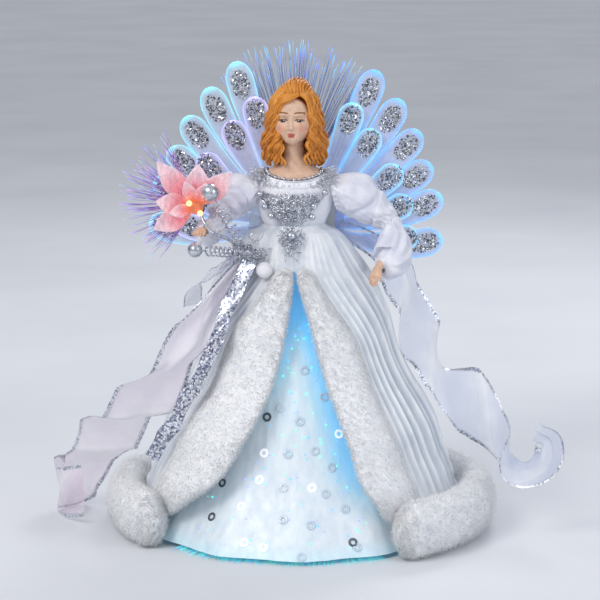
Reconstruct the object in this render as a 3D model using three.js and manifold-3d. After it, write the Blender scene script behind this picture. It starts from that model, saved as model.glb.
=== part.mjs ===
// Angel tree topper with fibre light: a gowned doll on a hollow core that slips over the top shoot of a tree.
// Millimetres, +Z up, +X to the right as seen from the front, the doll faces -Y. The origin is the middle of
// the underside, on the plane that the hem and the base stand on.
import * as THREE from 'three';
import { mergeVertices } from 'three/addons/utils/BufferGeometryUtils.js';
import Module from 'manifold-3d';

const wasm = await Module();
wasm.setup();

// Driving dimensions: fits and walls
const SEAT_GAP = 0.3;
const WALL = 2;
const CLOTH = 1.2;

// Driving dimensions: core, tree socket and light unit
const CORE_RADIUS = 82;
const CORE_ROOM = 4.5;
const CORE_SHOULDER_Z = 120;
const CORE_TOP_RADIUS = 14;
const CORE_TOP_Z = 188;
const CORE_MOUTH_RADIUS = 10;
const BASE_THICK = 3;
const BASE_RIM = 4;
const VENT_RADIUS = 6;
const VENT_COUNT = 6;
const VENT_CIRCLE = 52;
const GROMMET_BORE = 3.6;
const GROMMET_RADIUS = 5.5;
const GROMMET_FLANGE = 8;
const GROMMET_Y = 70;
const SEGMENTS = 20;
const SOCKET_BORE = 15;
const SOCKET_DEPTH = 76;
const SOCKET_FLANGE = 24;
const HOUSING_RADIUS = 36.5;
const HOUSING_HEIGHT = 40;
const HOUSING_SLOTS = 8;
const SLOT_WIDTH = 5;
const SLOT_HEIGHT = 16;
const COVER_THICK = 3;
const LAMP_X = 13;
const LAMP_RADIUS = 7;
const LAMP_HEIGHT = 12;
const HOLDER_HEIGHT = 6;
const SHAFT_X = -6;
const SHAFT_RADIUS = 1.5;
const MOTOR_RADIUS = 10.5;
const MOTOR_HEIGHT = 14;
const WHEEL_ROOM = 1.5;
const WHEEL_THICK = 2;
const WHEEL_RIM = 2;
const WHEEL_HUB = 4.5;
const WHEEL_LIFT = 22;
const GEL_THICK = 0.6;
const FERRULE_WALL = 1.6;
const TRUNK_RADIUS = 4.7;

// Driving dimensions: the doll
const BODY_X = -5;
const SHOULDER_Z = 230;
const HEAD_Z = 284;
const HEAD_HALF = { x: 15.2, y: 17.5, z: 21 };
const NECK_RADIUS = 6.8;
const BODICE_THICK = 1.4;
const BODICE_BOTTOM = 193;
const BODICE_RISE = 12.5;
const BODICE_LAP = 4.2;
const BODY_SIDES = 18;
const PIN_RADIUS = 1.2;
const BEAD_RADIUS = 1.7;
const BEAD_COUNT = 18;
const BEAD_THREAD = 0.7;
const COLLAR_HALF = 2.2;
const COLLAR_TALL = 3;

// Driving dimensions: gown
const SKIRT_TOP = 191;
const GOWN_TOP = 212;
const GOWN_LEVELS = [25, 44, 60, 90, 122, 155, 180, 187, 199, GOWN_TOP];
const WAIST_BACK_Z = 196;
const BACK_SPREAD = 0.9;
const HEM_Z = 4;
const UNDER_FOLDS = 12;
const UNDER_FOLD_DEPTH = 1.8;
const GOWN_PLEATS = 17;
const GOWN_PLEAT_DEPTH = 1.9;
const FUR_WIDTH = 27;
const FUR_THICK = 11;
const FUR_TOP = 186;
const FUR_SINK = 2.4;
const FUR_TOP_SINK = -1.7;
const FUR_HEM = { out: 13.5, up: 20 };
const FUR_HEM_CIRCLE = 121.5;
const FUR_HEM_END = 0.72;
const BACK_FLAT = 0.87;
const OPENING_LEFT = 54;
const OPENING_RIGHT = 33;
const OPENING_TOP = 1.5;
const ROSETTE = { turn: -0.06, z: 204.5, radius: 8.5, rise: 2.6, sink: 1 };

// Driving dimensions: wings, sprays, bouquet and ribbons
const FEATHER_THICK = 1.6;
const FEATHER_WIDTH = 20;
const PATCH_LENGTH = 21;
const PATCH_WIDTH = 13;
const PATCH_RAISE = 0.5;
const WING_X = -3;
const WING_PIVOT_Z = 214;
const WING_SWEEP = 11;
const WING_ROLL = 7;
const WING_ROOT_IN = 11;
const WING_ROOT = { wide: 16, tall: 30 };
const BRACKET_THICK = 3;
const BRACKET = { half: 26, top: 16.5, bottom: -16, corner: 6 };
const STRAND_RADIUS = 0.36;
const HALO_COLUMNS = 32;
const HALO_ROWS = 3;
const HALO_LENGTH = 103;
const HALO_SPREAD = 29;
const BOUQUET_COLUMNS = 23;
const BOUQUET_ROWS = 5;
const BOUQUET_LENGTH = 56;
const HEM_STRANDS = 92;
const HEM_REACH = 118;
const WIRE_RADIUS = 0.7;
const CURL_RADIUS = 3.2;
const CURL_LEAD = 0.16;
const CURL_SIDES = 5;
const CURL_STEPS = 8;
const BALL_LARGE = 6;
const BALL_SMALL = 5;
const PEARL = 5.6;
const KNOT_RADIUS = 5.5;
const RIBBON_HALF = 18;
const RIBBON_THICK = 0.8;
const LAME_HALF = 5;

// Small tools
const TAU = Math.PI * 2;
const rad = THREE.MathUtils.degToRad;
const mix = THREE.MathUtils.lerp;
const point = (x, y, z) => new THREE.Vector3(x, y, z);
const curveOf = (points) => new THREE.CatmullRomCurve3(points, false, 'centripetal');
const group = new THREE.Group();

// A repeatable scatter value between 0 and 1 for a whole number
function scatter(i) {
  const s = Math.sin(i * 12.9898 + 4.1414) * 43758.5453;
  return s - Math.floor(s);
}

// A smooth curve through rows of [at, value, value...], read at any place along it
function smoothTable(rows) {
  return (at) => {
    let k = 0;
    while (k < rows.length - 2 && at > rows[k + 1][0]) k += 1;
    const [a, b] = [rows[k], rows[k + 1]];
    const before = rows[Math.max(k - 1, 0)];
    const after = rows[Math.min(k + 2, rows.length - 1)];
    const span = b[0] - a[0];
    const t = THREE.MathUtils.clamp((at - a[0]) / span, 0, 1);
    return a.slice(1).map((value, i) => {
      const n = i + 1;
      const slopeIn = ((b[n] - before[n]) / (b[0] - before[0])) * span;
      const slopeOut = ((after[n] - a[n]) / (after[0] - a[0])) * span;
      const [t2, t3] = [t * t, t * t * t];
      return value * (2 * t3 - 3 * t2 + 1) + slopeIn * (t3 - 2 * t2 + t)
        + b[n] * (3 * t2 - 2 * t3) + slopeOut * (t3 - t2);
    });
  };
}

// A closed mesh from points and triangles, turned so that its faces point out
function closedMesh(points, triangles) {
  let volume = 0;
  const cross = new THREE.Vector3();
  for (const [a, b, c] of triangles) {
    volume += points[a].dot(cross.crossVectors(points[b], points[c]));
  }
  const geometry = new THREE.BufferGeometry();
  geometry.setAttribute('position', new THREE.Float32BufferAttribute(points.flatMap((p) => p.toArray()), 3));
  geometry.setIndex(triangles.flatMap(([a, b, c]) => (volume < 0 ? [a, c, b] : [a, b, c])));
  return geometry;
}

// A solid through rings of equal count, closed at both ends
function loft(rings) {
  const count = rings[0].length;
  const points = rings.flat();
  const triangles = [];
  for (let j = 0; j < rings.length - 1; j += 1) {
    for (let i = 0; i < count; i += 1) {
      const a = j * count + i;
      const b = j * count + (i + 1) % count;
      triangles.push([a, b, b + count], [a, b + count, a + count]);
    }
  }
  const ends = [[0, true], [(rings.length - 1) * count, false]];
  for (const [start, first] of ends) {
    if (count === 3) {
      triangles.push(first ? [start, start + 2, start + 1] : [start, start + 1, start + 2]);
      continue;
    }
    const ring = points.slice(start, start + count);
    const middle = ring.reduce((sum, p) => sum.add(p), point(0, 0, 0)).divideScalar(count);
    points.push(middle);
    const m = points.length - 1;
    for (let i = 0; i < count; i += 1) {
      const a = start + i;
      const b = start + (i + 1) % count;
      triangles.push(first ? [m, b, a] : [m, a, b]);
    }
  }
  return closedMesh(points, triangles);
}

// A sheet of even thickness on either side of a surface of (u, v); a ring closes in u
function shell(surface, columns, rows, thickness, ring) {
  const across = ring ? columns : columns + 1;
  const grid = [];
  for (let j = 0; j <= rows; j += 1) {
    for (let i = 0; i < across; i += 1) grid.push(surface(i / columns, j / rows));
  }
  const column = (i) => (ring ? (i + across) % across : THREE.MathUtils.clamp(i, 0, columns));
  const index = (i, j) => THREE.MathUtils.clamp(j, 0, rows) * across + column(i);
  const outer = [];
  const inner = [];
  for (let j = 0; j <= rows; j += 1) {
    for (let i = 0; i < across; i += 1) {
      const du = grid[index(i + 1, j)].clone().sub(grid[index(i - 1, j)]);
      const dv = grid[index(i, j + 1)].clone().sub(grid[index(i, j - 1)]);
      const normal = du.cross(dv).setLength(thickness / 2);
      outer.push(grid[index(i, j)].clone().add(normal));
      inner.push(grid[index(i, j)].clone().sub(normal));
    }
  }
  const far = outer.length;
  const triangles = [];
  const quad = (a, b, c, d) => triangles.push([a, b, c], [a, c, d]);
  const lastColumn = ring ? across : across - 1;
  for (let j = 0; j < rows; j += 1) {
    for (let i = 0; i < lastColumn; i += 1) {
      const [a, b, c, d] = [index(i, j), index(i + 1, j), index(i + 1, j + 1), index(i, j + 1)];
      quad(a, b, c, d);
      quad(far + a, far + d, far + c, far + b);
    }
  }
  for (let i = 0; i < lastColumn; i += 1) {
    const [a, b] = [index(i, 0), index(i + 1, 0)];
    quad(a, far + a, far + b, b);
    const [c, d] = [index(i, rows), index(i + 1, rows)];
    quad(c, d, far + d, far + c);
  }
  if (!ring) {
    for (let j = 0; j < rows; j += 1) {
      const [a, b] = [index(0, j), index(0, j + 1)];
      quad(a, b, far + b, far + a);
      const [c, d] = [index(columns, j), index(columns, j + 1)];
      quad(c, far + c, far + d, d);
    }
  }
  return closedMesh([...outer, ...inner], triangles);
}

// Rings square to a path, with a section given as points of (across, up) at each share of the path
function sweepRings(path, steps, section, upright) {
  const rings = [];
  for (let k = 0; k <= steps; k += 1) {
    const t = k / steps;
    const at = path.getPoint(t);
    const along = path.getTangent(t);
    const across = along.clone().cross(upright).normalize();
    const up = across.clone().cross(along).normalize();
    rings.push(section(t).map(([a, b]) => at.clone().addScaledVector(across, a).addScaledVector(up, b)));
  }
  return rings;
}

// An even ellipse of points, from which lofts and tubes are made
function ellipse(sides, a, b) {
  const flat = [];
  for (let i = 0; i < sides; i += 1) {
    const angle = (i / sides) * TAU;
    flat.push([a * Math.cos(angle), b * Math.sin(angle)]);
  }
  return flat;
}

// A round tube of one radius along a curve
function tube(path, radius, sides, steps) {
  const section = new THREE.Shape(ellipse(sides, radius, radius).map(([a, b]) => new THREE.Vector2(a, b)));
  return new THREE.ExtrudeGeometry(section, { steps, bevelEnabled: false, extrudePath: path });
}

// A flat outline given an even depth
function plain(shape, depth, curveSegments) {
  return new THREE.ExtrudeGeometry(shape, { depth, bevelEnabled: false, curveSegments });
}

// A profile of (radius, height) turned round the Z axis
function turned(profile, segments) {
  const geometry = new THREE.LatheGeometry(profile.map(([r, z]) => new THREE.Vector2(r, z)), segments);
  return geometry.rotateX(Math.PI / 2);
}

// A ball, or an egg where the three half sizes differ
function egg(middle, half, across, down) {
  const geometry = new THREE.SphereGeometry(1, across, down).rotateX(Math.PI / 2);
  return geometry.scale(half.x, half.y, half.z).translate(middle.x, middle.y, middle.z);
}

// A straight round bar from one place to another
function bar(from, to, radius, sides) {
  return tube(new THREE.LineCurve3(from, to), radius, sides, 1);
}

// Booleans: a closed mesh to a solid and back
function solid(geometry) {
  const bare = geometry.clone();
  bare.deleteAttribute('normal');
  bare.deleteAttribute('uv');
  const merged = mergeVertices(bare, 1e-4);
  const index = Array.from(merged.index.array);
  const kept = [];
  for (let i = 0; i < index.length; i += 3) {
    const [a, b, c] = index.slice(i, i + 3);
    if (a !== b && b !== c && c !== a) kept.push(a, b, c);
  }
  return new wasm.Manifold(new wasm.Mesh({
    numProp: 3,
    vertProperties: Float32Array.from(merged.attributes.position.array),
    triVerts: Uint32Array.from(kept),
  }));
}

function meshOf(manifold) {
  const mesh = manifold.getMesh();
  const geometry = new THREE.BufferGeometry();
  geometry.setAttribute('position', new THREE.BufferAttribute(mesh.vertProperties, 3));
  geometry.setIndex(Array.from(mesh.triVerts));
  return geometry;
}

function cut(geometry, ...tools) {
  return meshOf(tools.reduce((body, tool) => body.subtract(solid(tool)), solid(geometry)));
}

function join(first, ...rest) {
  return meshOf(rest.reduce((body, piece) => body.add(solid(piece)), solid(first)));
}

// Materials, as the photograph shows them
function finish(color, roughness, metalness = 0) {
  return new THREE.MeshStandardMaterial({ color, roughness, metalness });
}
const SATIN = finish(0xf1f1f6, 0.45);
const PLUSH = finish(0xf4f4f8, 0.95);
const SILVER = finish(0xc9ccd2, 0.2, 1);
const SKIN = finish(0xe3b18f, 0.5);
const HAIR = finish(0xd08a2c, 0.6);
const CLEAR = finish(0xcfd8f0, 0.2);
const FIBRE = finish(0x4f6f90, 0.25);
const PETAL = finish(0xf6b0b4, 0.4);
const BULB = finish(0xffe2b8, 0.2);
const ORGANZA = finish(0xb9c0d2, 0.5);
const WHITE_PLASTIC = finish(0xe6e6e2, 0.5);
const DARK_PLASTIC = finish(0x2c2d31, 0.5);
const STEEL = finish(0xb4b7bb, 0.35, 1);
const PEARL_WHITE = finish(0xf2f2f4, 0.25);

function place(name, geometry, material) {
  const mesh = new THREE.Mesh(geometry, material);
  mesh.name = name;
  group.add(mesh);
  return mesh;
}

// Core and tree socket
// The core's shoulder leaves room for the light unit
const coreLine = smoothTable([[BASE_THICK, CORE_RADIUS], [CORE_SHOULDER_Z, HOUSING_RADIUS + CORE_ROOM],
  [CORE_TOP_Z, CORE_TOP_RADIUS]]);
const coreRadius = (z) => coreLine(z)[0];
const coreBottom = BASE_THICK + SEAT_GAP;
const baseRadius = CORE_RADIUS + SEAT_GAP + WALL;
const socketRadius = SOCKET_BORE + WALL;
const socketTop = SOCKET_DEPTH + WALL;

function basePlate() {
  const inside = CORE_RADIUS + SEAT_GAP;
  const hole = socketRadius + SEAT_GAP;
  const plate = turned([[hole, 0], [baseRadius, 0], [baseRadius, BASE_THICK + BASE_RIM],
    [inside, BASE_THICK + BASE_RIM], [inside, BASE_THICK], [hole, BASE_THICK], [hole, 0]], SEGMENTS);
  const through = (x, y, radius, sides) => bar(point(x, y, -1), point(x, y, BASE_THICK + 1), radius, sides);
  const holes = [through(0, GROMMET_Y, GROMMET_RADIUS + SEAT_GAP, 12)];
  for (let i = 0; i < VENT_COUNT; i += 1) {
    const angle = ((i + 0.5) / VENT_COUNT) * TAU;
    holes.push(through(VENT_CIRCLE * Math.cos(angle), VENT_CIRCLE * Math.sin(angle), VENT_RADIUS, 6));
  }
  return cut(plate, ...holes);
}

function core() {
  const outer = [];
  const inner = [];
  const stops = [coreBottom, 70, CORE_SHOULDER_Z, CORE_TOP_Z];
  for (const z of stops) {
    outer.push([coreRadius(z), z]);
    inner.unshift([Math.max(coreRadius(z) - WALL, CORE_MOUTH_RADIUS), z - (z === CORE_TOP_Z ? WALL : 0)]);
  }
  const mouth = [[CORE_MOUTH_RADIUS, CORE_TOP_Z], [CORE_MOUTH_RADIUS, CORE_TOP_Z - WALL]];
  return turned([...outer, ...mouth, ...inner, outer[0]], SEGMENTS);
}

function treeSocket() {
  const seat = BASE_THICK + SEAT_GAP;
  return turned([[0, SOCKET_DEPTH], [SOCKET_BORE, SOCKET_DEPTH], [SOCKET_BORE, SEAT_GAP],
    [socketRadius, SEAT_GAP], [socketRadius, seat], [SOCKET_FLANGE, seat], [SOCKET_FLANGE, seat + WALL],
    [socketRadius, seat + WALL], [socketRadius, socketTop], [0, socketTop]], SEGMENTS - 4);
}

function leadGrommet() {
  const seat = BASE_THICK + SEAT_GAP;
  const ring = turned([[GROMMET_BORE, SEAT_GAP], [GROMMET_RADIUS, SEAT_GAP], [GROMMET_RADIUS, seat],
    [GROMMET_FLANGE, seat], [GROMMET_FLANGE, seat + WALL], [GROMMET_BORE, seat + WALL],
    [GROMMET_BORE, SEAT_GAP]], 12);
  return ring.translate(0, GROMMET_Y, 0);
}

place('base_plate', basePlate(), WHITE_PLASTIC);
place('core_shell', core(), WHITE_PLASTIC);
place('tree_socket', treeSocket(), WHITE_PLASTIC);
place('lead_grommet', leadGrommet(), DARK_PLASTIC);

// Light unit: housing, lamp, motor and colour wheel under the fibre ferrule
const housingBottom = socketTop + SEAT_GAP;
const housingFloor = housingBottom + WALL;
const housingTop = housingBottom + HOUSING_HEIGHT;
const coverBottom = housingTop + SEAT_GAP;
const coverTop = coverBottom + COVER_THICK;
const wheelBottom = housingFloor + WHEEL_LIFT;
const gelBottom = wheelBottom + WHEEL_THICK + SEAT_GAP;
const ferruleBottom = gelBottom + GEL_THICK + 1.2;
const ferruleBore = TRUNK_RADIUS + SEAT_GAP;
const ferruleRadius = ferruleBore + FERRULE_WALL;
const ferruleFlange = ferruleRadius + 3;
const wheelRadius = HOUSING_RADIUS - WALL - Math.abs(SHAFT_X) - WHEEL_ROOM;

function housing() {
  const cup = turned([[0, housingBottom], [HOUSING_RADIUS, housingBottom], [HOUSING_RADIUS, housingTop],
    [HOUSING_RADIUS - WALL, housingTop], [HOUSING_RADIUS - WALL, housingFloor], [0, housingFloor]], SEGMENTS);
  const slots = [];
  for (let i = 0; i < HOUSING_SLOTS; i += 1) {
    const slot = new THREE.BoxGeometry(3 * WALL, SLOT_WIDTH, SLOT_HEIGHT);
    slot.translate(HOUSING_RADIUS - WALL / 2, 0, housingFloor + SLOT_HEIGHT);
    slots.push(slot.rotateZ((i / HOUSING_SLOTS) * TAU));
  }
  return cut(cup, ...slots);
}

function housingCover() {
  const lip = HOUSING_RADIUS - WALL - SEAT_GAP;
  const disc = turned([[0, coverBottom], [lip - WALL, coverBottom], [lip - WALL, coverBottom - WALL],
    [lip, coverBottom - WALL], [lip, coverBottom], [HOUSING_RADIUS, coverBottom], [HOUSING_RADIUS, coverTop],
    [0, coverTop]], SEGMENTS);
  const [below, above] = [point(LAMP_X, 0, coverBottom - 5), point(LAMP_X, 0, coverTop + 5)];
  return cut(disc, bar(below, above, ferruleRadius + SEAT_GAP, 14));
}

function wheelMotor() {
  const bottom = housingFloor + SEAT_GAP;
  const bore = SHAFT_RADIUS + SEAT_GAP;
  const top = bottom + MOTOR_HEIGHT;
  const boss = bore + 2;
  const can = turned([[0, bottom], [MOTOR_RADIUS, bottom], [MOTOR_RADIUS, top - 1], [MOTOR_RADIUS - 1, top],
    [boss, top], [boss, top + 2], [bore, top + 2], [bore, top - 6], [0, top - 6]], 12);
  return can.translate(SHAFT_X, 0, 0);
}

function wheelSpindle() {
  const bottom = housingFloor + MOTOR_HEIGHT - 5.4;
  const collar = wheelBottom - SEAT_GAP;
  const top = wheelBottom + WHEEL_THICK;
  const step = SHAFT_RADIUS + 1.5;
  const pin = turned([[0, bottom], [SHAFT_RADIUS, bottom], [SHAFT_RADIUS, collar - 1.5], [step, collar - 1.5],
    [step, collar], [SHAFT_RADIUS, collar], [SHAFT_RADIUS, top], [0, top]], 8);
  return pin.translate(SHAFT_X, 0, 0);
}

// One window of the wheel, also the outline of the gel that covers it when it is grown
function sector(quarter, inner, outer, gap) {
  const shape = new THREE.Shape();
  const start = (quarter * Math.PI) / 2;
  const [near, far] = [Math.asin(gap / inner), Math.asin(gap / outer)];
  shape.absarc(0, 0, outer, start + far, start + Math.PI / 2 - far, false);
  shape.absarc(0, 0, inner, start + Math.PI / 2 - near, start + near, true);
  return shape;
}

function colourWheel() {
  const disc = new THREE.Shape();
  disc.absarc(0, 0, wheelRadius, 0, TAU, false);
  const hole = new THREE.Path();
  hole.absarc(0, 0, SHAFT_RADIUS + SEAT_GAP, 0, TAU, true);
  disc.holes.push(hole);
  for (let quarter = 0; quarter < 4; quarter += 1) {
    disc.holes.push(sector(quarter, WHEEL_HUB, wheelRadius - WHEEL_RIM, 1));
  }
  const wheel = plain(disc, WHEEL_THICK, 5);
  return wheel.translate(SHAFT_X, 0, wheelBottom);
}

function gel(quarter) {
  const outline = sector(quarter, WHEEL_HUB - 1, wheelRadius - 0.5, 0.4);
  const film = plain(outline, GEL_THICK, 4);
  return film.translate(SHAFT_X, 0, gelBottom);
}

function lampHolder() {
  const bottom = housingFloor + SEAT_GAP;
  const top = bottom + HOLDER_HEIGHT;
  const neck = LAMP_RADIUS - 2;
  const cup = turned([[0, bottom], [LAMP_RADIUS, bottom], [LAMP_RADIUS, bottom + 2], [neck, bottom + 3],
    [neck, top], [0, top]], 14);
  return cup.translate(LAMP_X, 0, 0);
}

function lamp() {
  const bottom = housingFloor + HOLDER_HEIGHT + 2 * SEAT_GAP;
  const top = bottom + LAMP_HEIGHT;
  const dish = turned([[0, bottom], [3, bottom], [3, bottom + 2.5], [LAMP_RADIUS - 1.5, bottom + 6],
    [LAMP_RADIUS, top - 2], [LAMP_RADIUS, top], [LAMP_RADIUS - 1, top], [LAMP_RADIUS - 2, top - 0.8],
    [0, top - 0.8]], 14);
  return dish.translate(LAMP_X, 0, 0);
}

function ferrule() {
  const seat = coverTop + SEAT_GAP;
  const top = seat + 9;
  return turned([[ferruleBore, ferruleBottom], [ferruleRadius, ferruleBottom], [ferruleRadius, seat],
    [ferruleFlange, seat], [ferruleFlange, seat + WALL], [ferruleRadius, seat + WALL], [ferruleRadius, top],
    [ferruleBore, top], [ferruleBore, ferruleBottom]], 14).translate(LAMP_X, 0, 0);
}

// The fibre trunk climbs from the ferrule through the core's mouth and leaves by the doll's back
const trunkOut = point(BODY_X, 40, 231);
const trunkPath = curveOf([point(LAMP_X, 0, ferruleBottom), point(LAMP_X, 0, coverTop),
  point(LAMP_X, 0, coverTop + 12), point(6, 0, 160), point(-2, 0, CORE_TOP_Z - 4), point(BODY_X, 1, 204),
  point(BODY_X, 6, 222), point(BODY_X, 16, 230), point(BODY_X, 27, 231), trunkOut]);
const trunkTube = (radius) => tube(trunkPath, radius, 7, 18);

place('light_housing', housing(), WHITE_PLASTIC);
place('housing_cover', housingCover(), WHITE_PLASTIC);
place('wheel_motor', wheelMotor(), STEEL);
place('wheel_spindle', wheelSpindle(), STEEL);
place('colour_wheel', colourWheel(), DARK_PLASTIC);
const GEL_COLOURS = [['blue', 0x2a58e0], ['cyan', 0x28c4d8], ['pink', 0xe04a78], ['amber', 0xf0b040]];
GEL_COLOURS.forEach(([name, colour], quarter) => place(`gel_${name}`, gel(quarter), finish(colour, 0.2)));
place('lamp_holder', lampHolder(), DARK_PLASTIC);
place('lamp', lamp(), BULB);
place('fibre_ferrule', ferrule(), STEEL);
place('fibre_trunk', trunkTube(TRUNK_RADIUS), FIBRE);

// The bodice ends above the shoulders, and laps over the foot of the bust
const BODICE_TOP = SHOULDER_Z + BODICE_RISE;
const BUST_BOTTOM = BODICE_TOP - BODICE_LAP;
// Torso, bodice and bust share one line of half widths, [height, across, deep]
const bodyLine = smoothTable([[CORE_TOP_Z, 17, 13.5], [198, 18, 13.9], [210, 19, 14.6], [222, 23.5, 17.8],
  [232, 25.5, 16.6], [240, 24.8, 14.8], [246, 21.5, 12], [250, 15.5, 9.6],
  [254, NECK_RADIUS + 2, NECK_RADIUS + 1], [259, NECK_RADIUS, NECK_RADIUS], [268, NECK_RADIUS, NECK_RADIUS]]);
// The plane that the wing bracket lies on, just behind the bodice
const WING_Y = bodyLine(222)[1] + 2 * SEAT_GAP + BODICE_THICK;
const bodyAt = (z, angle, out) => {
  const [across, deep] = bodyLine(z);
  return point(BODY_X + (across + out) * Math.cos(angle), (deep + out) * Math.sin(angle), z);
};

function bodyLoft(levels, out) {
  const ring = Array.from({ length: BODY_SIDES }, (_, i) => (i / BODY_SIDES) * TAU);
  return loft(levels.map((z) => ring.map((angle) => bodyAt(z, angle, out))));
}

const shoulderPin = (side, reach, radius) => bar(point(BODY_X + side * 14, 0, SHOULDER_Z),
  point(BODY_X + side * reach, 0, SHOULDER_Z), radius, 8);
const trunkChannel = trunkTube(TRUNK_RADIUS + SEAT_GAP);
const pinHoles = [1, -1].map((side) => shoulderPin(side, 40, PIN_RADIUS + SEAT_GAP));

// The body and the bodice bend at the same heights, so the cloth lies evenly on it
const bodiceLevels = [BODICE_BOTTOM, 206, GOWN_TOP, 219, 228, BUST_BOTTOM - SEAT_GAP / 2, BODICE_TOP];

function torso() {
  const levels = [CORE_TOP_Z + SEAT_GAP, ...bodiceLevels.slice(0, -2), BUST_BOTTOM - SEAT_GAP];
  return cut(bodyLoft(levels, 0), trunkChannel, ...pinHoles);
}

function bodice() {
  const rows = bodiceLevels.length - 1;
  const surface = (u, v) => bodyAt(bodiceLevels[Math.round(v * rows)], u * TAU, SEAT_GAP + BODICE_THICK / 2);
  return cut(shell(surface, BODY_SIDES, rows, BODICE_THICK, true), trunkChannel, ...pinHoles);
}

// The head is an egg with a drawn-in jaw, hollows for the eyes, a nose and a mouth
const headMiddle = point(BODY_X - 0.5, -3, HEAD_Z);
function headShape(out) {
  const geometry = new THREE.SphereGeometry(1, 18, 14).rotateX(Math.PI / 2);
  const places = geometry.attributes.position;
  for (let i = 0; i < places.count; i += 1) {
    const p = point(places.getX(i), places.getY(i), places.getZ(i));
    const low = Math.max(0, -p.z);
    const front = Math.max(0, -p.y);
    const bump = (x, z, width, height) => front * height
      * Math.exp(-((Math.abs(p.x) - x) ** 2 + (p.z - z) ** 2) / (width * width));
    const face = bump(0, -0.16, 0.13, 0.13) - bump(0.36, 0.06, 0.17, 0.07) + bump(0, -0.47, 0.13, 0.05)
      + bump(0, -0.8, 0.2, 0.06) + bump(0.5, -0.25, 0.25, 0.03);
    const across = HEAD_HALF.x * (1 - 0.3 * low * low) + out;
    const deep = HEAD_HALF.y * (1 - 0.12 * low * low + (out ? Math.max(face, 0) : face)) + out;
    places.setXYZ(i, p.x * across, p.y * deep, p.z * (HEAD_HALF.z + out));
  }
  return geometry.translate(headMiddle.x, headMiddle.y, headMiddle.z);
}

function bust(out) {
  const levels = [BUST_BOTTOM - out, BODICE_TOP, 246, 250, 254, 259, 268];
  return join(bodyLoft(levels, out), headShape(out));
}

// Moulded hair: a waved cap to the shoulders, hollowed for the head and open over the face
function hair() {
  const line = smoothTable([[249, 17, 9], [256, 22, 13.5], [266, 22.5, 16.5], [278, 21, 18.5],
    [290, 20, 19.5], [299, 17.5, 17], [306, 12, 12], [311.5, 4, 4]]);
  const sides = 22;
  const levels = [249, 256, 265, 275, 286, 297, 306, 311.5];
  const rings = levels.map((z) => Array.from({ length: sides }, (_, i) => {
    const angle = (i / sides) * TAU;
    const [across, deep] = line(z);
    const wave = 1 + 0.045 * Math.sin(9 * angle + 0.42 * z) + 0.02 * Math.sin(0.9 * z);
    return point(headMiddle.x + across * wave * Math.cos(angle), 1 + deep * wave * Math.sin(angle), z);
  }));
  const faceWindow = bar(point(0, -40, 0), point(0, 0, 0), 1, 16).scale(12.4, 1, 15.5)
    .translate(headMiddle.x - 0.6, -2, HEAD_Z - 2.5);
  const throat = new THREE.BoxGeometry(17, 40, 40).translate(headMiddle.x, -18, HEAD_Z - 29);
  return cut(loft(rings), bust(SEAT_GAP), faceWindow, throat);
}

place('torso_form', torso(), WHITE_PLASTIC);
place('bodice', bodice(), SATIN);
place('head_bust', bust(0), SKIN);
place('hair', hair(), HAIR);

// Neckline: a tinsel collar over the bodice's edge and a string of beads above it
const COLLAR_Z = BODICE_TOP - COLLAR_TALL - 0.2;
const collarOut = SEAT_GAP + BODICE_THICK + SEAT_GAP + COLLAR_HALF;

// A ring that follows the body at a height, with a half size of (across, up) at each step
function bodyRing(z, out, halfAt, steps, sides) {
  const rings = [];
  for (let k = 0; k < steps; k += 1) {
    const angle = (k / steps) * TAU;
    const at = bodyAt(z, angle, out);
    const outward = point(Math.cos(angle), Math.sin(angle), 0);
    const section = ellipse(sides, ...halfAt(k));
    rings.push(section.map(([a, b]) => at.clone().addScaledVector(outward, a).add(point(0, 0, b))));
  }
  const triangles = [];
  for (let k = 0; k < steps; k += 1) {
    for (let i = 0; i < sides; i += 1) {
      const a = k * sides + i;
      const b = k * sides + (i + 1) % sides;
      const c = ((k + 1) % steps) * sides + (i + 1) % sides;
      const d = ((k + 1) % steps) * sides + i;
      triangles.push([a, b, c], [a, c, d]);
    }
  }
  return closedMesh(rings.flat(), triangles);
}

function collarBeads() {
  const z = BODICE_TOP + SEAT_GAP + BEAD_RADIUS;
  const out = SEAT_GAP + BEAD_RADIUS;
  const beadAt = (k) => (k % 2 ? [BEAD_RADIUS, BEAD_RADIUS] : [BEAD_THREAD, BEAD_THREAD]);
  return bodyRing(z, out, beadAt, BEAD_COUNT * 2, 5);
}

const collarRing = bodyRing(COLLAR_Z, collarOut, () => [COLLAR_HALF, COLLAR_TALL], 20, 6);
place('collar_tinsel', cut(collarRing, trunkChannel), SILVER);
place('collar_beads', collarBeads(), SILVER);

// Bodice appliqué: a pointed plate that follows the bodice, with the beads sewn on it
const BROOCH_TOP = COLLAR_Z - 5;
const BROOCH_BOTTOM = GOWN_TOP + 2;
const BROOCH_THICK = 0.9;
const BROOCH_BEAD = 2.1;
const broochOut = SEAT_GAP + BODICE_THICK + 2 * SEAT_GAP;
const broochHalf = (z) => mix(0.2, 0.98, ((z - BROOCH_BOTTOM) / (BROOCH_TOP - BROOCH_BOTTOM)) ** 0.8);

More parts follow.
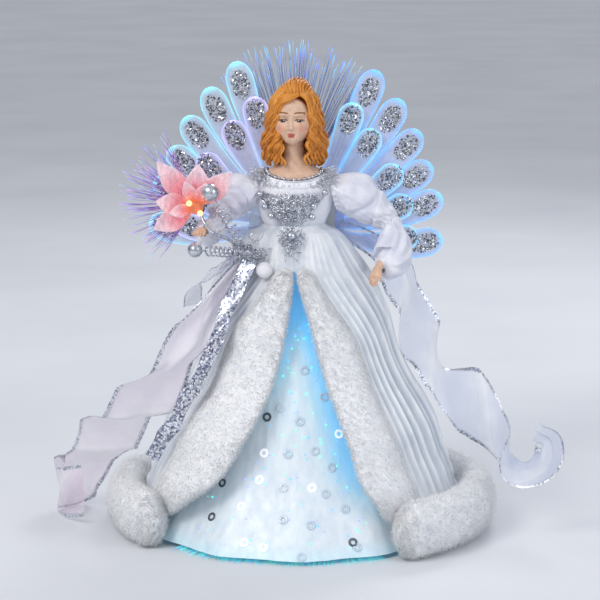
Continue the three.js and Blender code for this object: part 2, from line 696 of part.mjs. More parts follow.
function brooch() {
  const surface = (u, v) => {
    const z = mix(BROOCH_BOTTOM, BROOCH_TOP, v);
    return bodyAt(z, -Math.PI / 2 + mix(-1, 1, u) * broochHalf(z), broochOut + BROOCH_THICK / 2);
  };
  const bead = ([share, rise]) => {
    const z = mix(BROOCH_BOTTOM, BROOCH_TOP, rise);
    const at = bodyAt(z, -Math.PI / 2 + share * broochHalf(z) * 0.9, broochOut + BROOCH_BEAD);
    return new THREE.OctahedronGeometry(BROOCH_BEAD, 0).translate(at.x, at.y, at.z);
  };
  const beads = [-1, 1].flatMap((side) => [[0.95, 0.83], [0.72, 0.5], [0.48, 0.18]]
    .map(([share, rise]) => bead([side * share, rise])));
  return join(shell(surface, 8, 4, BROOCH_THICK, false), ...beads);
}
place('bodice_brooch', brooch(), SILVER);

// Arms: each has a wire that starts as a pin in the torso, a puff sleeve, a bell cuff and a hand
const ARMS = {
  left: {
    side: 1,
    puff: [point(19, 0, 231), point(34, -2, 234), point(50, -5, 224), point(60, -8, 213)],
    puffRadii: [10, 15.5, 12.5, 7],
    cuff: [point(60.2, -8.8, 212.2), point(62.5, -14, 204), point(61.5, -20.5, 193.5), point(57, -27, 184)],
    cuffRadii: [7, 10.8, 14, 11.5],
    hand: point(51.5, -34.5, 180.5),
  },
  right: {
    side: -1,
    puff: [point(-29, 0, 231), point(-43, -3, 234), point(-52, -8, 226), point(-56, -13, 217)],
    puffRadii: [10, 14.5, 11.5, 6.5],
    cuff: [point(-56.3, -13.8, 216.2), point(-59, -20, 213), point(-62, -26, 211), point(-65, -32, 210.5)],
    cuffRadii: [6.5, 7.5, 8.5, 9.5],
    hand: point(-66.5, -39, 211.5),
  },
};

// Rings across a limb, with gathers where the cloth is drawn in
function limbRings(points, radii, sides, gathers, grow) {
  const path = curveOf(points);
  const line = smoothTable(radii.map((r, i) => [i / (radii.length - 1), r]));
  return sweepRings(path, 6, (t) => ellipse(sides, 1, 1).map(([a, b], i) => {
    const ripple = 1 + gathers * (i % 2 ? 1 : -1);
    const r = line(t)[0] * ripple + grow;
    return [a * r, b * r];
  }), point(0, -0.3, 1));
}

function armWirePath(arm) {
  const start = point(BODY_X + arm.side * 15, 0, SHOULDER_Z);
  const straight = [22, 29, 36].map((reach) => point(BODY_X + arm.side * reach, 0, SHOULDER_Z));
  const wrist = arm.hand.clone().lerp(arm.cuff[3], 0.55);
  return curveOf([start, ...straight, arm.puff[2], arm.puff[3], arm.cuff[1], arm.cuff[2], wrist]);
}

// The sleeve starts at an upright face just clear of the collar, so it can swing about the pin
function puffSleeve(arm) {
  const clear = bodyLine(COLLAR_Z)[0] + collarOut + COLLAR_HALF + SEAT_GAP;
  const inner = new THREE.BoxGeometry(60, 60, 60).translate(BODY_X + arm.side * (clear - 30), 0, SHOULDER_Z);
  const puff = loft(limbRings(arm.puff, arm.puffRadii, 10, 0.05, 0));
  return cut(puff, inner, wireTube(arm, PIN_RADIUS + SEAT_GAP));
}

function wireTube(arm, radius) {
  return tube(armWirePath(arm), radius, 5, 16);
}

function bellCuff(arm) {
  const outer = loft(limbRings(arm.cuff, arm.cuffRadii, 10, 0.04, 0));
  const elbow = loft(limbRings(arm.puff, arm.puffRadii, 10, 0.05, SEAT_GAP));
  const mouth = arm.cuff.map((p) => p.clone());
  mouth[0].lerp(mouth[1], 0.7);
  mouth[3].addScaledVector(mouth[3].clone().sub(mouth[2]), 0.4);
  const inner = loft(limbRings(mouth, arm.cuffRadii.map((r) => r - 0.4), 10, 0.04, -CLOTH));
  return cut(outer, inner, elbow, wireTube(arm, PIN_RADIUS + SEAT_GAP));
}

// A hand: a palm with a thumb and four fingers, slightly cupped
function hand(arm) {
  const reach = arm.hand.clone().sub(arm.cuff[3]).normalize();
  const across = reach.clone().cross(point(0, 0, 1)).normalize();
  const up = across.clone().cross(reach);
  const at = (along, side, lift) => arm.hand.clone().addScaledVector(reach, along)
    .addScaledVector(across, side * arm.side).addScaledVector(up, lift);
  const limb = (stops, radii) => loft(sweepRings(curveOf(stops), 2, (t) => {
    const r = mix(radii[0], radii[1], t);
    return ellipse(4, r, r);
  }, up));
  const pieces = [limb([at(-7, 0, 0), at(-3, 0, 0.2), at(1, 0, 0)], [2.4, 3.2])];
  pieces.push(limb([at(-0.5, -0.4, 0), at(3, -0.3, 0.4), at(6, 0, 0)], [3.1, 2.9]));
  for (let i = 0; i < 4; i += 1) {
    const side = mix(-2.4, 2.4, i / 3);
    const tip = 11.5 - Math.abs(i - 1.3);
    pieces.push(limb([at(4.5, side, 0), at(8, side * 1.15, -0.6), at(tip, side * 1.2, -2.6)], [1.15, 0.8]));
  }
  pieces.push(limb([at(1, -2.4, 0), at(4, -4.6, -0.6), at(7, -5.2, -1.6)], [1.3, 0.9]));
  return cut(join(...pieces), wireTube(arm, PIN_RADIUS + SEAT_GAP));
}

for (const [name, arm] of Object.entries(ARMS)) {
  place(`${name}_arm_wire`, wireTube(arm, PIN_RADIUS), STEEL);
  place(`${name}_puff_sleeve`, puffSleeve(arm), SATIN);
  place(`${name}_bell_cuff`, bellCuff(arm), SATIN);
  place(`${name}_hand`, hand(arm), SKIN);
}

// Gown: the skirts lean to the body's line and flatten toward the waist
const leanAt = (z) => BODY_X * THREE.MathUtils.smoothstep(z, 60, 190);
const flatAt = (z) => mix(1, 0.86, THREE.MathUtils.smoothstep(z, 90, 190));
// The underskirt's waistband goes round the torso, just under the bodice
const skirtWaist = bodyLine(SKIRT_TOP)[0] + CLOTH / 2 + SEAT_GAP;
const underLine = smoothTable([[0, 108], [HEM_Z, 106], [18, 98], [35, 89], [60, 80], [90, 70], [120, 60],
  [150, 51], [175, 39.5], [SKIRT_TOP, skirtWaist]]);
const waistRadius = bodyLine(GOWN_TOP)[0] + BODICE_THICK + 2.4 * SEAT_GAP + CLOTH / 2;
const gownLine = smoothTable([[GOWN_LEVELS[0], 105], [44, 103.6], [60, 97.5], [78, 92], [94, 84], [106, 77],
  [122, 70], [155, 62], [180, 51], [193, 42], [205, 32], [GOWN_TOP, waistRadius]]);
// Behind the waist the gown hangs flat, clear of the wing bracket
const backRoom = (z) => WING_Y - CLOTH / 2 - 3 * SEAT_GAP + Math.max(0, WAIST_BACK_Z - z) * BACK_SPREAD;

// Angles run from the front, positive to +X
function around(angle, radius, z, room = Infinity) {
  const flat = Math.cos(angle) < 0 ? Math.min(flatAt(z), BACK_FLAT, room / radius) : flatAt(z);
  return point(leanAt(z) + radius * Math.sin(angle), -flat * radius * Math.cos(angle), z);
}

// The front of the underskirt fills the opening and stands a little further out at the hem
function underRadius(angle, z) {
  const middle = rad((OPENING_RIGHT - OPENING_LEFT) / 2);
  const reach = rad((OPENING_RIGHT + OPENING_LEFT) / 2);
  const front = Math.max(0, Math.cos(((angle - middle) / reach) * (Math.PI / 2) * 0.8));
  const inFront = Math.abs(angle - middle) < reach / 0.8 ? front : 0;
  const low = 1 - THREE.MathUtils.smoothstep(z, HEM_Z, 70);
  const folds = UNDER_FOLD_DEPTH * low * Math.cos(UNDER_FOLDS * angle);
  return underLine(z)[0] + 6 * low * inFront + folds;
}

function underskirt() {
  const surface = (u, v) => {
    const angle = (u - 0.5) * TAU;
    const z = mix(HEM_Z, SKIRT_TOP, v);
    return around(angle, underRadius(angle, z), z);
  };
  return shell(surface, 42, 6, CLOTH, true);
}

// The gown's front edges open from the waist to the hem
const openShare = (z) => 1 - THREE.MathUtils.clamp((z - GOWN_LEVELS[0]) / (FUR_TOP - GOWN_LEVELS[0]), 0, 1);
const openingAt = (side) => (side > 0 ? OPENING_RIGHT : OPENING_LEFT);
const edgeAngle = (side, z) => rad(mix(OPENING_TOP, openingAt(side), openShare(z) ** 0.9));
const furAngle = (z) => FUR_WIDTH / Math.max(gownLine(z)[0], FUR_WIDTH);
const furShare = (z) => mix(0.35, 1, THREE.MathUtils.smoothstep(openShare(z), 0, 0.35));

// The front edges lie beside the fur, and meet above it
const frontClosing = (z) => 1 - THREE.MathUtils.smoothstep(z, FUR_TOP - 6, FUR_TOP);
const gownRows = GOWN_LEVELS.length - 1;
function gownSurface(u, v) {
  const z = GOWN_LEVELS[Math.round(v * gownRows)];
  const rise = (z - GOWN_LEVELS[0]) / (GOWN_TOP - GOWN_LEVELS[0]);
  const seam = 2 * SEAT_GAP / gownLine(z)[0];
  const width = furAngle(z) * furShare(z);
  const start = (edgeAngle(1, z) + width) * frontClosing(z) + seam;
  const stop = TAU - (edgeAngle(-1, z) + width) * frontClosing(z) - seam;
  const depth = GOWN_PLEAT_DEPTH * Math.sin(Math.PI * rise) ** 0.5 * (1 - 0.5 * rise);
  const fold = depth * Math.sin(u * GOWN_PLEATS * TAU);
  return around(mix(start, stop, u), gownLine(z)[0] + fold, z, backRoom(z));
}

// A place just off the gown's front, out from the cloth by half a piece's size
function onGown(angle, z, half) {
  const at = around(angle, gownLine(z)[0], z);
  const along = around(angle, gownLine(z + 1)[0], z + 1).sub(at);
  const across = around(angle + 0.01, gownLine(z)[0], z).sub(at);
  const outward = across.cross(along).normalize();
  return { at: at.addScaledVector(outward, CLOTH / 2 + SEAT_GAP + half), outward };
}

// Waist rosette: a low round boss on the front of the gown, under the point of the appliqué
function rosette() {
  const { at, outward } = onGown(ROSETTE.turn, ROSETTE.z, ROSETTE.rise - ROSETTE.sink);
  const disc = egg(point(0, 0, 0), { x: ROSETTE.radius, y: ROSETTE.radius, z: ROSETTE.rise }, 12, 6);
  const turn = new THREE.Quaternion().setFromUnitVectors(point(0, 0, 1), outward);
  return disc.applyQuaternion(turn).translate(at.x, at.y, at.z);
}

place('underskirt', underskirt(), SATIN);
place('waist_rosette', rosette(), SILVER);
place('overskirt', shell(gownSurface, GOWN_PLEATS * 3, gownRows, CLOTH, false), SATIN);

// Fur: a plump band stands round the hem, and a band runs up each front edge to the waist
function hemFur(grow) {
  const start = rad(OPENING_RIGHT) - 0.02;
  const stop = TAU - rad(OPENING_LEFT) + 0.02;
  const rings = [];
  const steps = 28;
  for (let k = 0; k <= steps; k += 1) {
    const angle = mix(start, stop, k / steps);
    const end = Math.min(k, steps - k);
    const share = end === 0 ? FUR_HEM_END : 1;
    const lift = FUR_HEM.up + 2 * SEAT_GAP;
    const section = ellipse(8, FUR_HEM.out * share + grow, FUR_HEM.up * share + grow);
    rings.push(section.map(([a, b]) => around(angle, FUR_HEM_CIRCLE + a, Math.max(lift + b, SEAT_GAP))));
  }
  return loft(rings);
}

function frontFur(side) {
  const rings = [];
  const steps = 12;
  for (let k = 0; k <= steps; k += 1) {
    const z = mix(GOWN_LEVELS[0] - 6, FUR_TOP, k / steps);
    const width = furAngle(z) * furShare(z) / 2;
    const middle = edgeAngle(side, z) + width;
    const swell = THREE.MathUtils.smoothstep(openShare(z), 0, 0.25);
    const half = mix(4, FUR_THICK / 2, swell);
    const lift = gownLine(Math.max(z, GOWN_LEVELS[0]))[0] + half - mix(FUR_TOP_SINK, FUR_SINK, swell);
    rings.push(ellipse(8, 1, 1).map(([a, b]) => {
      const out = lift + b * half;
      return around(side * (middle + a * width), out, z);
    }));
  }
  return loft(rings);
}

place('fur_hem', hemFur(0), PLUSH);
place('fur_front_left', cut(frontFur(1), hemFur(SEAT_GAP)), PLUSH);
place('fur_front_right', cut(frontFur(-1), hemFur(SEAT_GAP)), PLUSH);

// Wings: a rear and a front panel on each side, every feather a curved blade with a raised oval patch
// Each blade is [tip outward, tip up, lean of the tip in degrees]
const REAR_FEATHERS = [[58, 99, 69], [75, 78.5, 62], [88.5, 56, 51], [97, 32.5, 38], [104.5, 10.3, 31],
  [105, -19.5, 18]];
const FRONT_FEATHERS = [[41.5, 77, 72], [56, 58, 60], [73, 32, 49], [81, 9, 36], [85.5, -15, 24]];

// One blade as a flat outline, from its root near the body to its round tip, in (outward, up)
function featherAxis([tipX, tipZ, lean], order, count) {
  const root = new THREE.Vector2(15 + 2 * order, mix(12, -12, order / (count - 1)));
  const tip = new THREE.Vector2(tipX, tipZ);
  const heading = new THREE.Vector2(Math.cos(rad(lean)), Math.sin(rad(lean)));
  const bend = tip.clone().addScaledVector(heading, -0.5 * tip.distanceTo(root));
  return new THREE.QuadraticBezierCurve(root, bend, tip);
}

function blade(axis, scale) {
  const [left, right] = [[], []];
  const widths = [[0, 0.25], [0.45, 0.7], [0.78, 1], [0.93, 0.78], [1, 0.2]];
  for (const [t, share] of widths) {
    const at = axis.getPoint(t);
    const along = axis.getTangent(t);
    const half = (FEATHER_WIDTH / 2) * share * scale;
    left.push(new THREE.Vector2(at.x - along.y * half, at.y + along.x * half));
    right.unshift(new THREE.Vector2(at.x + along.y * half, at.y - along.x * half));
  }
  return new THREE.Shape([...left, ...right]);
}

function patchOutline(axis) {
  const at = axis.getPoint(0.83);
  const along = axis.getTangent(0.83);
  return new THREE.Shape(ellipse(6, PATCH_LENGTH / 2, PATCH_WIDTH / 2).map(([a, b]) => new THREE.Vector2(
    at.x + along.x * a - along.y * b, at.y + along.y * a + along.x * b)));
}

// A panel, built facing -Y with its blades stepped in depth so that each laps the one above it
function wingPanel(feathers, scale) {
  const step = 0.5;
  const pieces = [];
  feathers.forEach((feather, order) => {
    const axis = featherAxis(feather, order, feathers.length);
    const upright = (shape) => plain(shape, FEATHER_THICK).rotateX(Math.PI / 2);
    const lap = step * (feathers.length - 1 - order);
    pieces.push(upright(blade(axis, scale)).translate(0, lap, 0));
    pieces.push(upright(patchOutline(axis)).translate(0, lap - PATCH_RAISE, 0));
  });
  const depth = FEATHER_THICK + step * (feathers.length - 1);
  const root = new THREE.BoxGeometry(WING_ROOT.wide, depth, WING_ROOT.tall);
  pieces.push(root.translate(WING_ROOT_IN + WING_ROOT.wide / 2, depth / 2 - FEATHER_THICK, 0));
  return { geometry: join(...pieces), depth };
}

function mirrored(geometry) {
  const flipped = geometry.clone().scale(-1, 1, 1);
  const index = flipped.index.array;
  for (let i = 0; i < index.length; i += 3) [index[i], index[i + 1]] = [index[i + 1], index[i]];
  return flipped;
}

const frontPanel = wingPanel(FRONT_FEATHERS, 0.92);
const rearPanel = wingPanel(REAR_FEATHERS, 1);
const frontY = WING_Y + BRACKET_THICK + SEAT_GAP + FEATHER_THICK;
const rearY = frontY - FEATHER_THICK + frontPanel.depth + SEAT_GAP + PATCH_RAISE + FEATHER_THICK;

function placeWing(name, side) {
  const layers = [['front', frontPanel, frontY], ['rear', rearPanel, rearY]];
  for (const [layer, panel, y] of layers) {
    const geometry = side > 0 ? panel.geometry.clone() : mirrored(panel.geometry);
    const [edgeX, edgeY] = [side * WING_ROOT_IN, frontY - FEATHER_THICK];
    geometry.translate(-edgeX, y - edgeY, 0).rotateZ(side * rad(WING_SWEEP)).translate(edgeX, edgeY, 0);
    if (side < 0) geometry.rotateY(rad(WING_ROLL));
    geometry.translate(WING_X, 0, WING_PIVOT_Z);
    place(`${name}_wing_${layer}`, geometry, CLEAR);
  }
}
placeWing('left', 1);
placeWing('right', -1);

// Wing bracket: a plate on the doll's back with a hole for the fibre trunk
function wingBracket() {
  const shape = new THREE.Shape();
  const { half, top, bottom, corner } = BRACKET;
  shape.moveTo(-half + corner, bottom);
  shape.lineTo(half - corner, bottom);
  shape.quadraticCurveTo(half, bottom, half, bottom + corner);
  shape.lineTo(half, top - corner);
  shape.quadraticCurveTo(half, top, half - corner, top);
  shape.lineTo(-half + corner, top);
  shape.quadraticCurveTo(-half, top, -half, top - corner);
  shape.lineTo(-half, bottom + corner);
  shape.quadraticCurveTo(-half, bottom, -half + corner, bottom);
  const plate = plain(shape, BRACKET_THICK, 4).rotateX(Math.PI / 2);
  return cut(plate.translate(WING_X, WING_Y + BRACKET_THICK, WING_PIVOT_Z), trunkChannel);
}
place('wing_bracket', wingBracket(), WHITE_PLASTIC);

// Strands: three-sided fibres fused to the collar or strip that holds them
function strand(from, to) {
  const along = to.clone().sub(from).normalize();
  const across = along.clone().cross(point(0, 1, 0)).normalize();
  const up = across.clone().cross(along);
  const foot = ellipse(3, STRAND_RADIUS, STRAND_RADIUS)
    .map(([a, b]) => from.clone().addScaledVector(across, a).addScaledVector(up, b));
  return closedMesh([...foot, to], [[0, 1, 3], [1, 2, 3], [2, 0, 3], [0, 2, 1]]);
}

function haloSpray() {
  const base = trunkOut.clone().add(point(0, SEAT_GAP, 0));
  const collar = new THREE.BoxGeometry(24, 9, 9).translate(base.x, base.y + 4.5, base.z);
  const pieces = [collar];
  for (let row = 0; row < HALO_ROWS; row += 1) {
    for (let i = 0; i < HALO_COLUMNS; i += 1) {
      const share = mix(-1, 1, (i + (row % 2) * 0.5) / (HALO_COLUMNS - 0.5));
      const length = HALO_LENGTH * (1 - 0.14 * share * share) * mix(0.8, 1, scatter(i * 7 + row * 131));
      const lean = rad(HALO_SPREAD * share);
      const y = base.y + 2 + 2.4 * row;
      const from = point(base.x + 10.5 * share, y, base.z + 3);
      const back = 3 + 9 * Math.abs(share) + 2 * row;
      const to = point(from.x + length * Math.sin(lean), y + back, base.z + length * Math.cos(lean));
      pieces.push(strand(from, to));
    }
  }
  return join(...pieces);
}
place('halo_fibres', haloSpray(), FIBRE);

// Bouquet: a lit flower of pointed petals on a stem, a spray of fibres behind it, and balls on curled wires
const KNOT = point(-36, -37, 196);
const FLOWER = point(-71, -37, 228);
const FLOWER_HALF = { x: 5.5, y: 5, z: 5.5 };
const PETALS = [[44, 34], [86, 29], [130, 40], [172, 27], [208, 32]];
const BULBS = [[-4.2, -5.9, 3], [3.2, -6.4, -3.6]];
const BALL_UPPER = point(-61, -47, 239);
const BALL_LOWER = point(-71, -56, 201.5);
const PEARL_AT = onGown(-0.38, 183, PEARL - SEAT_GAP).at;
const STEM_RADIUS = 1.3;
const CURL_COUNT = 5;

// A place just clear of a ball, on the line from the ball toward another place
function clearOf(ball, radius, toward) {
  return ball.clone().addScaledVector(toward.clone().sub(ball).normalize(), radius + 2 * SEAT_GAP);
}

function stemPath() {
  const side = point(-62.2, -43, 213);
  const low = point(-50, -36, 206);
  const top = clearOf(FLOWER, FLOWER_HALF.x, point(-64, -40.5, 217));
  return curveOf([top, side, low, clearOf(KNOT, KNOT_RADIUS, low)]);
}

// One petal: a shallow V in section, widest past its middle and pointed at the tip
function petal([turn, length]) {
  const out = point(Math.cos(rad(turn)), 0, Math.sin(rad(turn)));
  const foot = FLOWER.clone().addScaledVector(out, FLOWER_HALF.x - 1.5);
  const bend = FLOWER.clone().addScaledVector(out, length / 2).add(point(0, -5, 0));
  const tip = FLOWER.clone().addScaledVector(out, length).add(point(0, -2, 0));
  const line = smoothTable([[0, 2], [0.3, 6.5], [0.55, 8], [0.8, 5], [1, 0.5]]);
  return loft(sweepRings(new THREE.QuadraticBezierCurve3(foot, bend, tip), 5, (t) => {
    const half = line(t)[0];
    return [[-half, -0.5], [0, 0], [half, -0.5], [0, 1.2]];
  }, point(0, -1, 0)));
}

function bouquetSpray() {
  const cup = { x: 12, y: 7, z: 16 };
  const base = FLOWER.clone().add(point(1, FLOWER_HALF.y + SEAT_GAP + cup.y / 2, 3));
  const pieces = [new THREE.BoxGeometry(cup.x, cup.y, cup.z).translate(base.x, base.y, base.z)];
  for (let row = 0; row < BOUQUET_ROWS; row += 1) {
    for (let i = 0; i < BOUQUET_COLUMNS; i += 1) {
      const share = (i + (row % 2) * 0.5) / (BOUQUET_COLUMNS - 0.5);
      const turn = rad(mix(120, 234, share));
      const depth = rad(mix(2, 30, row / (BOUQUET_ROWS - 1)));
      const out = point(Math.cos(turn) * Math.cos(depth), Math.sin(depth), Math.sin(turn) * Math.cos(depth));
      const length = BOUQUET_LENGTH * mix(0.8, 1, scatter(i * 13 + row * 57));
      const from = base.clone().addScaledVector(out, cup.y / 2);
      pieces.push(strand(from, base.clone().addScaledVector(out, length)));
    }
  }
  return join(...pieces);
}

// A wire that leaves a ball straight, curls round its own line and runs straight to the knot
function curlPoints(from, to) {
  const along = to.clone().sub(from);
  const length = along.length();
  along.normalize();
  const across = along.clone().cross(point(0, 0, 1)).normalize();
  const up = across.clone().cross(along);
  const points = [from];
  const steps = CURL_COUNT * CURL_STEPS;
  for (let k = 0; k <= steps; k += 1) {
    const t = k / steps;
    const swing = CURL_RADIUS * THREE.MathUtils.smoothstep(Math.min(t, 1 - t), 0, 0.5 / CURL_COUNT);
    const turn = t * CURL_COUNT * TAU;
    points.push(from.clone().addScaledVector(along, mix(CURL_LEAD, 1 - CURL_LEAD, t) * length)
      .addScaledVector(across, swing * Math.cos(turn)).addScaledVector(up, swing * Math.sin(turn)));
  }
  points.push(to);
  return points;
}

// The least room between any two curls of a wire, less the wire itself
function leastSelfGap(points, radius) {
  let least = Infinity;
  for (let i = 0; i < points.length; i += 1) {
    for (let j = i + CURL_STEPS - 2; j < points.length; j += 1) {
      least = Math.min(least, points[i].distanceTo(points[j]));
    }
  }
  return least - 2 * radius;
}

function wireCurl(name, ball, radius) {
  const [from, to] = [clearOf(ball, radius, KNOT), clearOf(KNOT, KNOT_RADIUS, ball)];
  const points = curlPoints(from, to);
  console.log(`${name}: least gap between curls ${leastSelfGap(points, WIRE_RADIUS).toFixed(2)} mm`);
  return loft(points.map((p, k) => {
    const [before, after] = [points[Math.max(k - 1, 0)], points[Math.min(k + 1, points.length - 1)]];
    const along = after.clone().sub(before).normalize();
    const across = along.clone().cross(point(0, 1, 0.2)).normalize();
    const up = across.clone().cross(along);
    return ellipse(CURL_SIDES, WIRE_RADIUS, WIRE_RADIUS)
      .map(([a, b]) => p.clone().addScaledVector(across, a).addScaledVector(up, b));
  }));
}

const evenHalf = (radius) => ({ x: radius, y: radius, z: radius });
place('bouquet_knot', egg(KNOT, evenHalf(KNOT_RADIUS), 10, 6), SILVER);
place('bouquet_stem', tube(stemPath(), STEM_RADIUS, 6, 10), SILVER);
place('flower_petals', join(egg(FLOWER, FLOWER_HALF, 10, 6), ...PETALS.map(petal)), PETAL);
BULBS.forEach(([x, y, z], i) => {
  place(`flower_bulb_${i + 1}`, egg(FLOWER.clone().add(point(x, y, z)), { x: 2, y: 3, z: 2 }, 8, 6), BULB);
});
place('bouquet_fibres', bouquetSpray(), FIBRE);
place('curl_wire_upper', wireCurl('curl_wire_upper', BALL_UPPER, BALL_LARGE), SILVER);
place('curl_wire_lower', wireCurl('curl_wire_lower', BALL_LOWER, BALL_SMALL), SILVER);
place('silver_ball_upper', egg(BALL_UPPER, evenHalf(BALL_LARGE), 12, 7), SILVER);
place('silver_ball_lower', egg(BALL_LOWER, evenHalf(BALL_SMALL), 12, 7), SILVER);
place('pearl_ball', egg(PEARL_AT, evenHalf(PEARL), 12, 7), PEARL_WHITE);

// Hem fibres: strands from a strip on the base's rim that come out under the front of the underskirt's hem
function hemFibres() {
  const stripIn = baseRadius + SEAT_GAP;
  const stripOut = stripIn + 2.2;
  const [stripLow, stripHigh] = [1.6, 6];
  const steps = 14;
  const [start, stop] = [rad(-OPENING_LEFT + 3), rad(OPENING_RIGHT - 3)];
  const spot = (angle, r, z) => point(r * Math.sin(angle), -r * Math.cos(angle), z);
  const rings = [];
  for (let k = 0; k <= steps; k += 1) {
    const angle = mix(start, stop, k / steps);
    rings.push([spot(angle, stripIn, stripLow), spot(angle, stripOut, stripLow),
      spot(angle, stripOut, stripHigh), spot(angle, stripIn, stripHigh)]);
  }
  const pieces = [loft(rings)];
  for (let i = 0; i < HEM_STRANDS; i += 1) {
    const angle = mix(start + 0.01, stop - 0.01, i / (HEM_STRANDS - 1));
    const from = spot(angle, stripOut - 1, (stripLow + stripHigh) / 2);
    pieces.push(strand(from, spot(angle, HEM_REACH - 3 * scatter(i), 1)));
  }
  return join(...pieces);
}
place('hem_fibres', hemFibres(), FIBRE);

// Ribbons: each station is [middle, direction across the ribbon, share of the full width]
function ribbon(stations, half, steps) {
  const middle = curveOf(stations.map(([at]) => at));
  const across = curveOf(stations.map(([, toward]) => toward.clone().normalize()));
  const share = smoothTable(stations.map(([, , width], i) => [i / (stations.length - 1), width]));
  const rings = [];
  for (let k = 0; k <= steps; k += 1) {
    const t = k / steps;
    const at = middle.getPoint(t);
    const along = middle.getTangent(t);
    const wide = across.getPoint(t).projectOnPlane(along).setLength(half * share(t)[0]);
    const thick = along.cross(wide).setLength(RIBBON_THICK / 2);
    rings.push([at.clone().add(wide).add(thick), at.clone().sub(wide).add(thick),
      at.clone().sub(wide).sub(thick), at.clone().add(wide).sub(thick)]);
  }
  const triangles = [[0, 2, 1], [0, 3, 2]];
  for (let k = 0; k < steps; k += 1) {
    const [a, b, c, d] = [0, 1, 2, 3].map((i) => 4 * k + i);
    const [e, f, g, h] = [a + 4, b + 4, c + 4, d + 4];
    triangles.push([a, b, f], [a, f, e], [b, c, g], [b, g, f], [c, d, g], [d, h, g], [d, a, e], [d, e, h]);
  }
  const end = 4 * steps;
  triangles.push([end, end + 1, end + 2], [end, end + 2, end + 3]);
  return closedMesh(rings.flat(), triangles);
}

// From the knot, down over the fur to the floor, where it curls round on its edge
const BOUQUET_TRAIL = [
  [KNOT.clone().add(point(-2, -0.5, -6)), point(1, 0.2, 0), 0.3],
  [point(-55, -47, 168), point(1, 0.3, -0.3), 0.5],
  [point(-74, -54, 141), point(0.9, 0.35, -0.45), 0.75],
  [point(-93, -50, 112), point(0.85, 0.1, -0.5), 0.85],
  [point(-115, -24, 84), point(0.85, 0.1, -0.45), 0.95],
  [point(-136, 12, 60), point(0.55, 0.3, -0.65), 1],
  [point(-151, 38, 36), point(0.15, 0.15, -0.95), 1],
  [point(-163, 46, 22), point(0, 0, -1), 1],
  [point(-173, 30, 19.5), point(0, 0, -1), 1],
  [point(-166, 6, 20), point(0, 0, -1), 1],
  [point(-152, -4, 24), point(0.1, -0.3, -0.9), 1],
];
// From the edge of the wing bracket, out behind the arm and down beside the gown, with a twist and a curl
const BACK_TRAIL = [
  [point(25.6, WING_Y + BRACKET_THICK / 2, 205), point(0, 0.1, 1), 0.3],
  [point(41, 22.5, 198), point(0.2, 0.3, 0.9), 0.4],
  [point(63, 26, 180), point(0.8, 0.4, 0.4), 0.6],
  [point(74, 26, 158), point(0.9, 0.4, 0), 0.85],
  [point(80, 22, 132), point(0.75, 0.6, -0.1), 0.95],
  [point(90, 14, 112), point(0.4, 0.8, 0.2), 1],
  [point(102, 2, 98), point(0.5, 0.45, 0.6), 1],
  [point(116, -8, 88), point(0.65, 0.05, 0.7), 1],
  [point(130, -17, 73), point(0.55, -0.45, 0.6), 1],
  [point(142, -28, 56), point(0.3, -0.85, 0.2), 0.95],
  [point(155, -44, 49), point(0.1, -0.85, -0.5), 0.85],
  [point(166, -50, 56), point(0.35, -0.75, -0.5), 0.75],
  [point(167, -46, 69), point(0.5, -0.7, 0.1), 0.65],
  [point(159, -42, 73), point(0.6, -0.6, 0.4), 0.55],
];
const LAME_TRAIL = [
  [KNOT.clone().add(point(1, -5.4, -4.6)), point(1, 0, 0.4), 1],
  [point(-50, -54, 160), point(0.9, 0.1, 0.4), 1],
  [point(-62, -64, 130), point(0.9, -0.3, 0.3), 1],
  [point(-80, -62, 96), point(0.9, -0.2, 0.4), 1],
  [point(-102, -48, 57), point(0.85, -0.4, 0.4), 1],
];
const LOOP_TRAIL = [
  [KNOT.clone().add(point(-5.8, 0.9, -1.4)), point(0.3, 1, 0.2), 0.35],
  [point(-58, -36, 184), point(0.3, 1, 0.4), 0.55],
  [point(-72, -34, 172), point(0.5, 0.9, 0.2), 0.6],
  [point(-74, -33, 160), point(0.6, 0.8, 0), 0.55],
];
place('ribbon_bouquet_trail', ribbon(BOUQUET_TRAIL, RIBBON_HALF, 34), ORGANZA);
place('ribbon_back_trail', ribbon(BACK_TRAIL, RIBBON_HALF, 40), ORGANZA);
place('ribbon_lame', ribbon(LAME_TRAIL, LAME_HALF, 18), SILVER);
place('ribbon_loop', ribbon(LOOP_TRAIL, RIBBON_HALF, 12), ORGANZA);

export default group;
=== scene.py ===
import math

import bpy
import numpy as np
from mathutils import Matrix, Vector


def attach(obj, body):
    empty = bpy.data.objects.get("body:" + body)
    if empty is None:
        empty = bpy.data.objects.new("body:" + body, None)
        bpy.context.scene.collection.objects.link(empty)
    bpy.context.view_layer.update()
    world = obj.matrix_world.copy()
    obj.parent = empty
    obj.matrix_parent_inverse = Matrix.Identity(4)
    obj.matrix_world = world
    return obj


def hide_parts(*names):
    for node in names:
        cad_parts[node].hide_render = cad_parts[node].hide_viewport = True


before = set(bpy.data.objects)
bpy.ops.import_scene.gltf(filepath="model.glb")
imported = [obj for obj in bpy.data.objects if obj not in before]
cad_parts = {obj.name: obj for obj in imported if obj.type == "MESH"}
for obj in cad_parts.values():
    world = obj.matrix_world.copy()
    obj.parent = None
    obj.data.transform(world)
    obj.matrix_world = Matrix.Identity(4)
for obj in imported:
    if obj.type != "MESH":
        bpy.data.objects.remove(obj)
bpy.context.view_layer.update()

# Sizes are in millimetres, and turn into metres as each mesh is made
MM = 0.001
TAU = 2 * math.pi
RANDOM = np.random.default_rng(12)

# Camera: the photograph's height, distance and framing
CAMERA_RISE = math.radians(10)
CAMERA_AWAY = 1.8
CAMERA_AIM = Vector((-0.001035, 0, 0.1579))
FOCAL_PIXELS = 2608.7
IMAGE_PIXELS = 600
SENSOR_WIDTH = 36


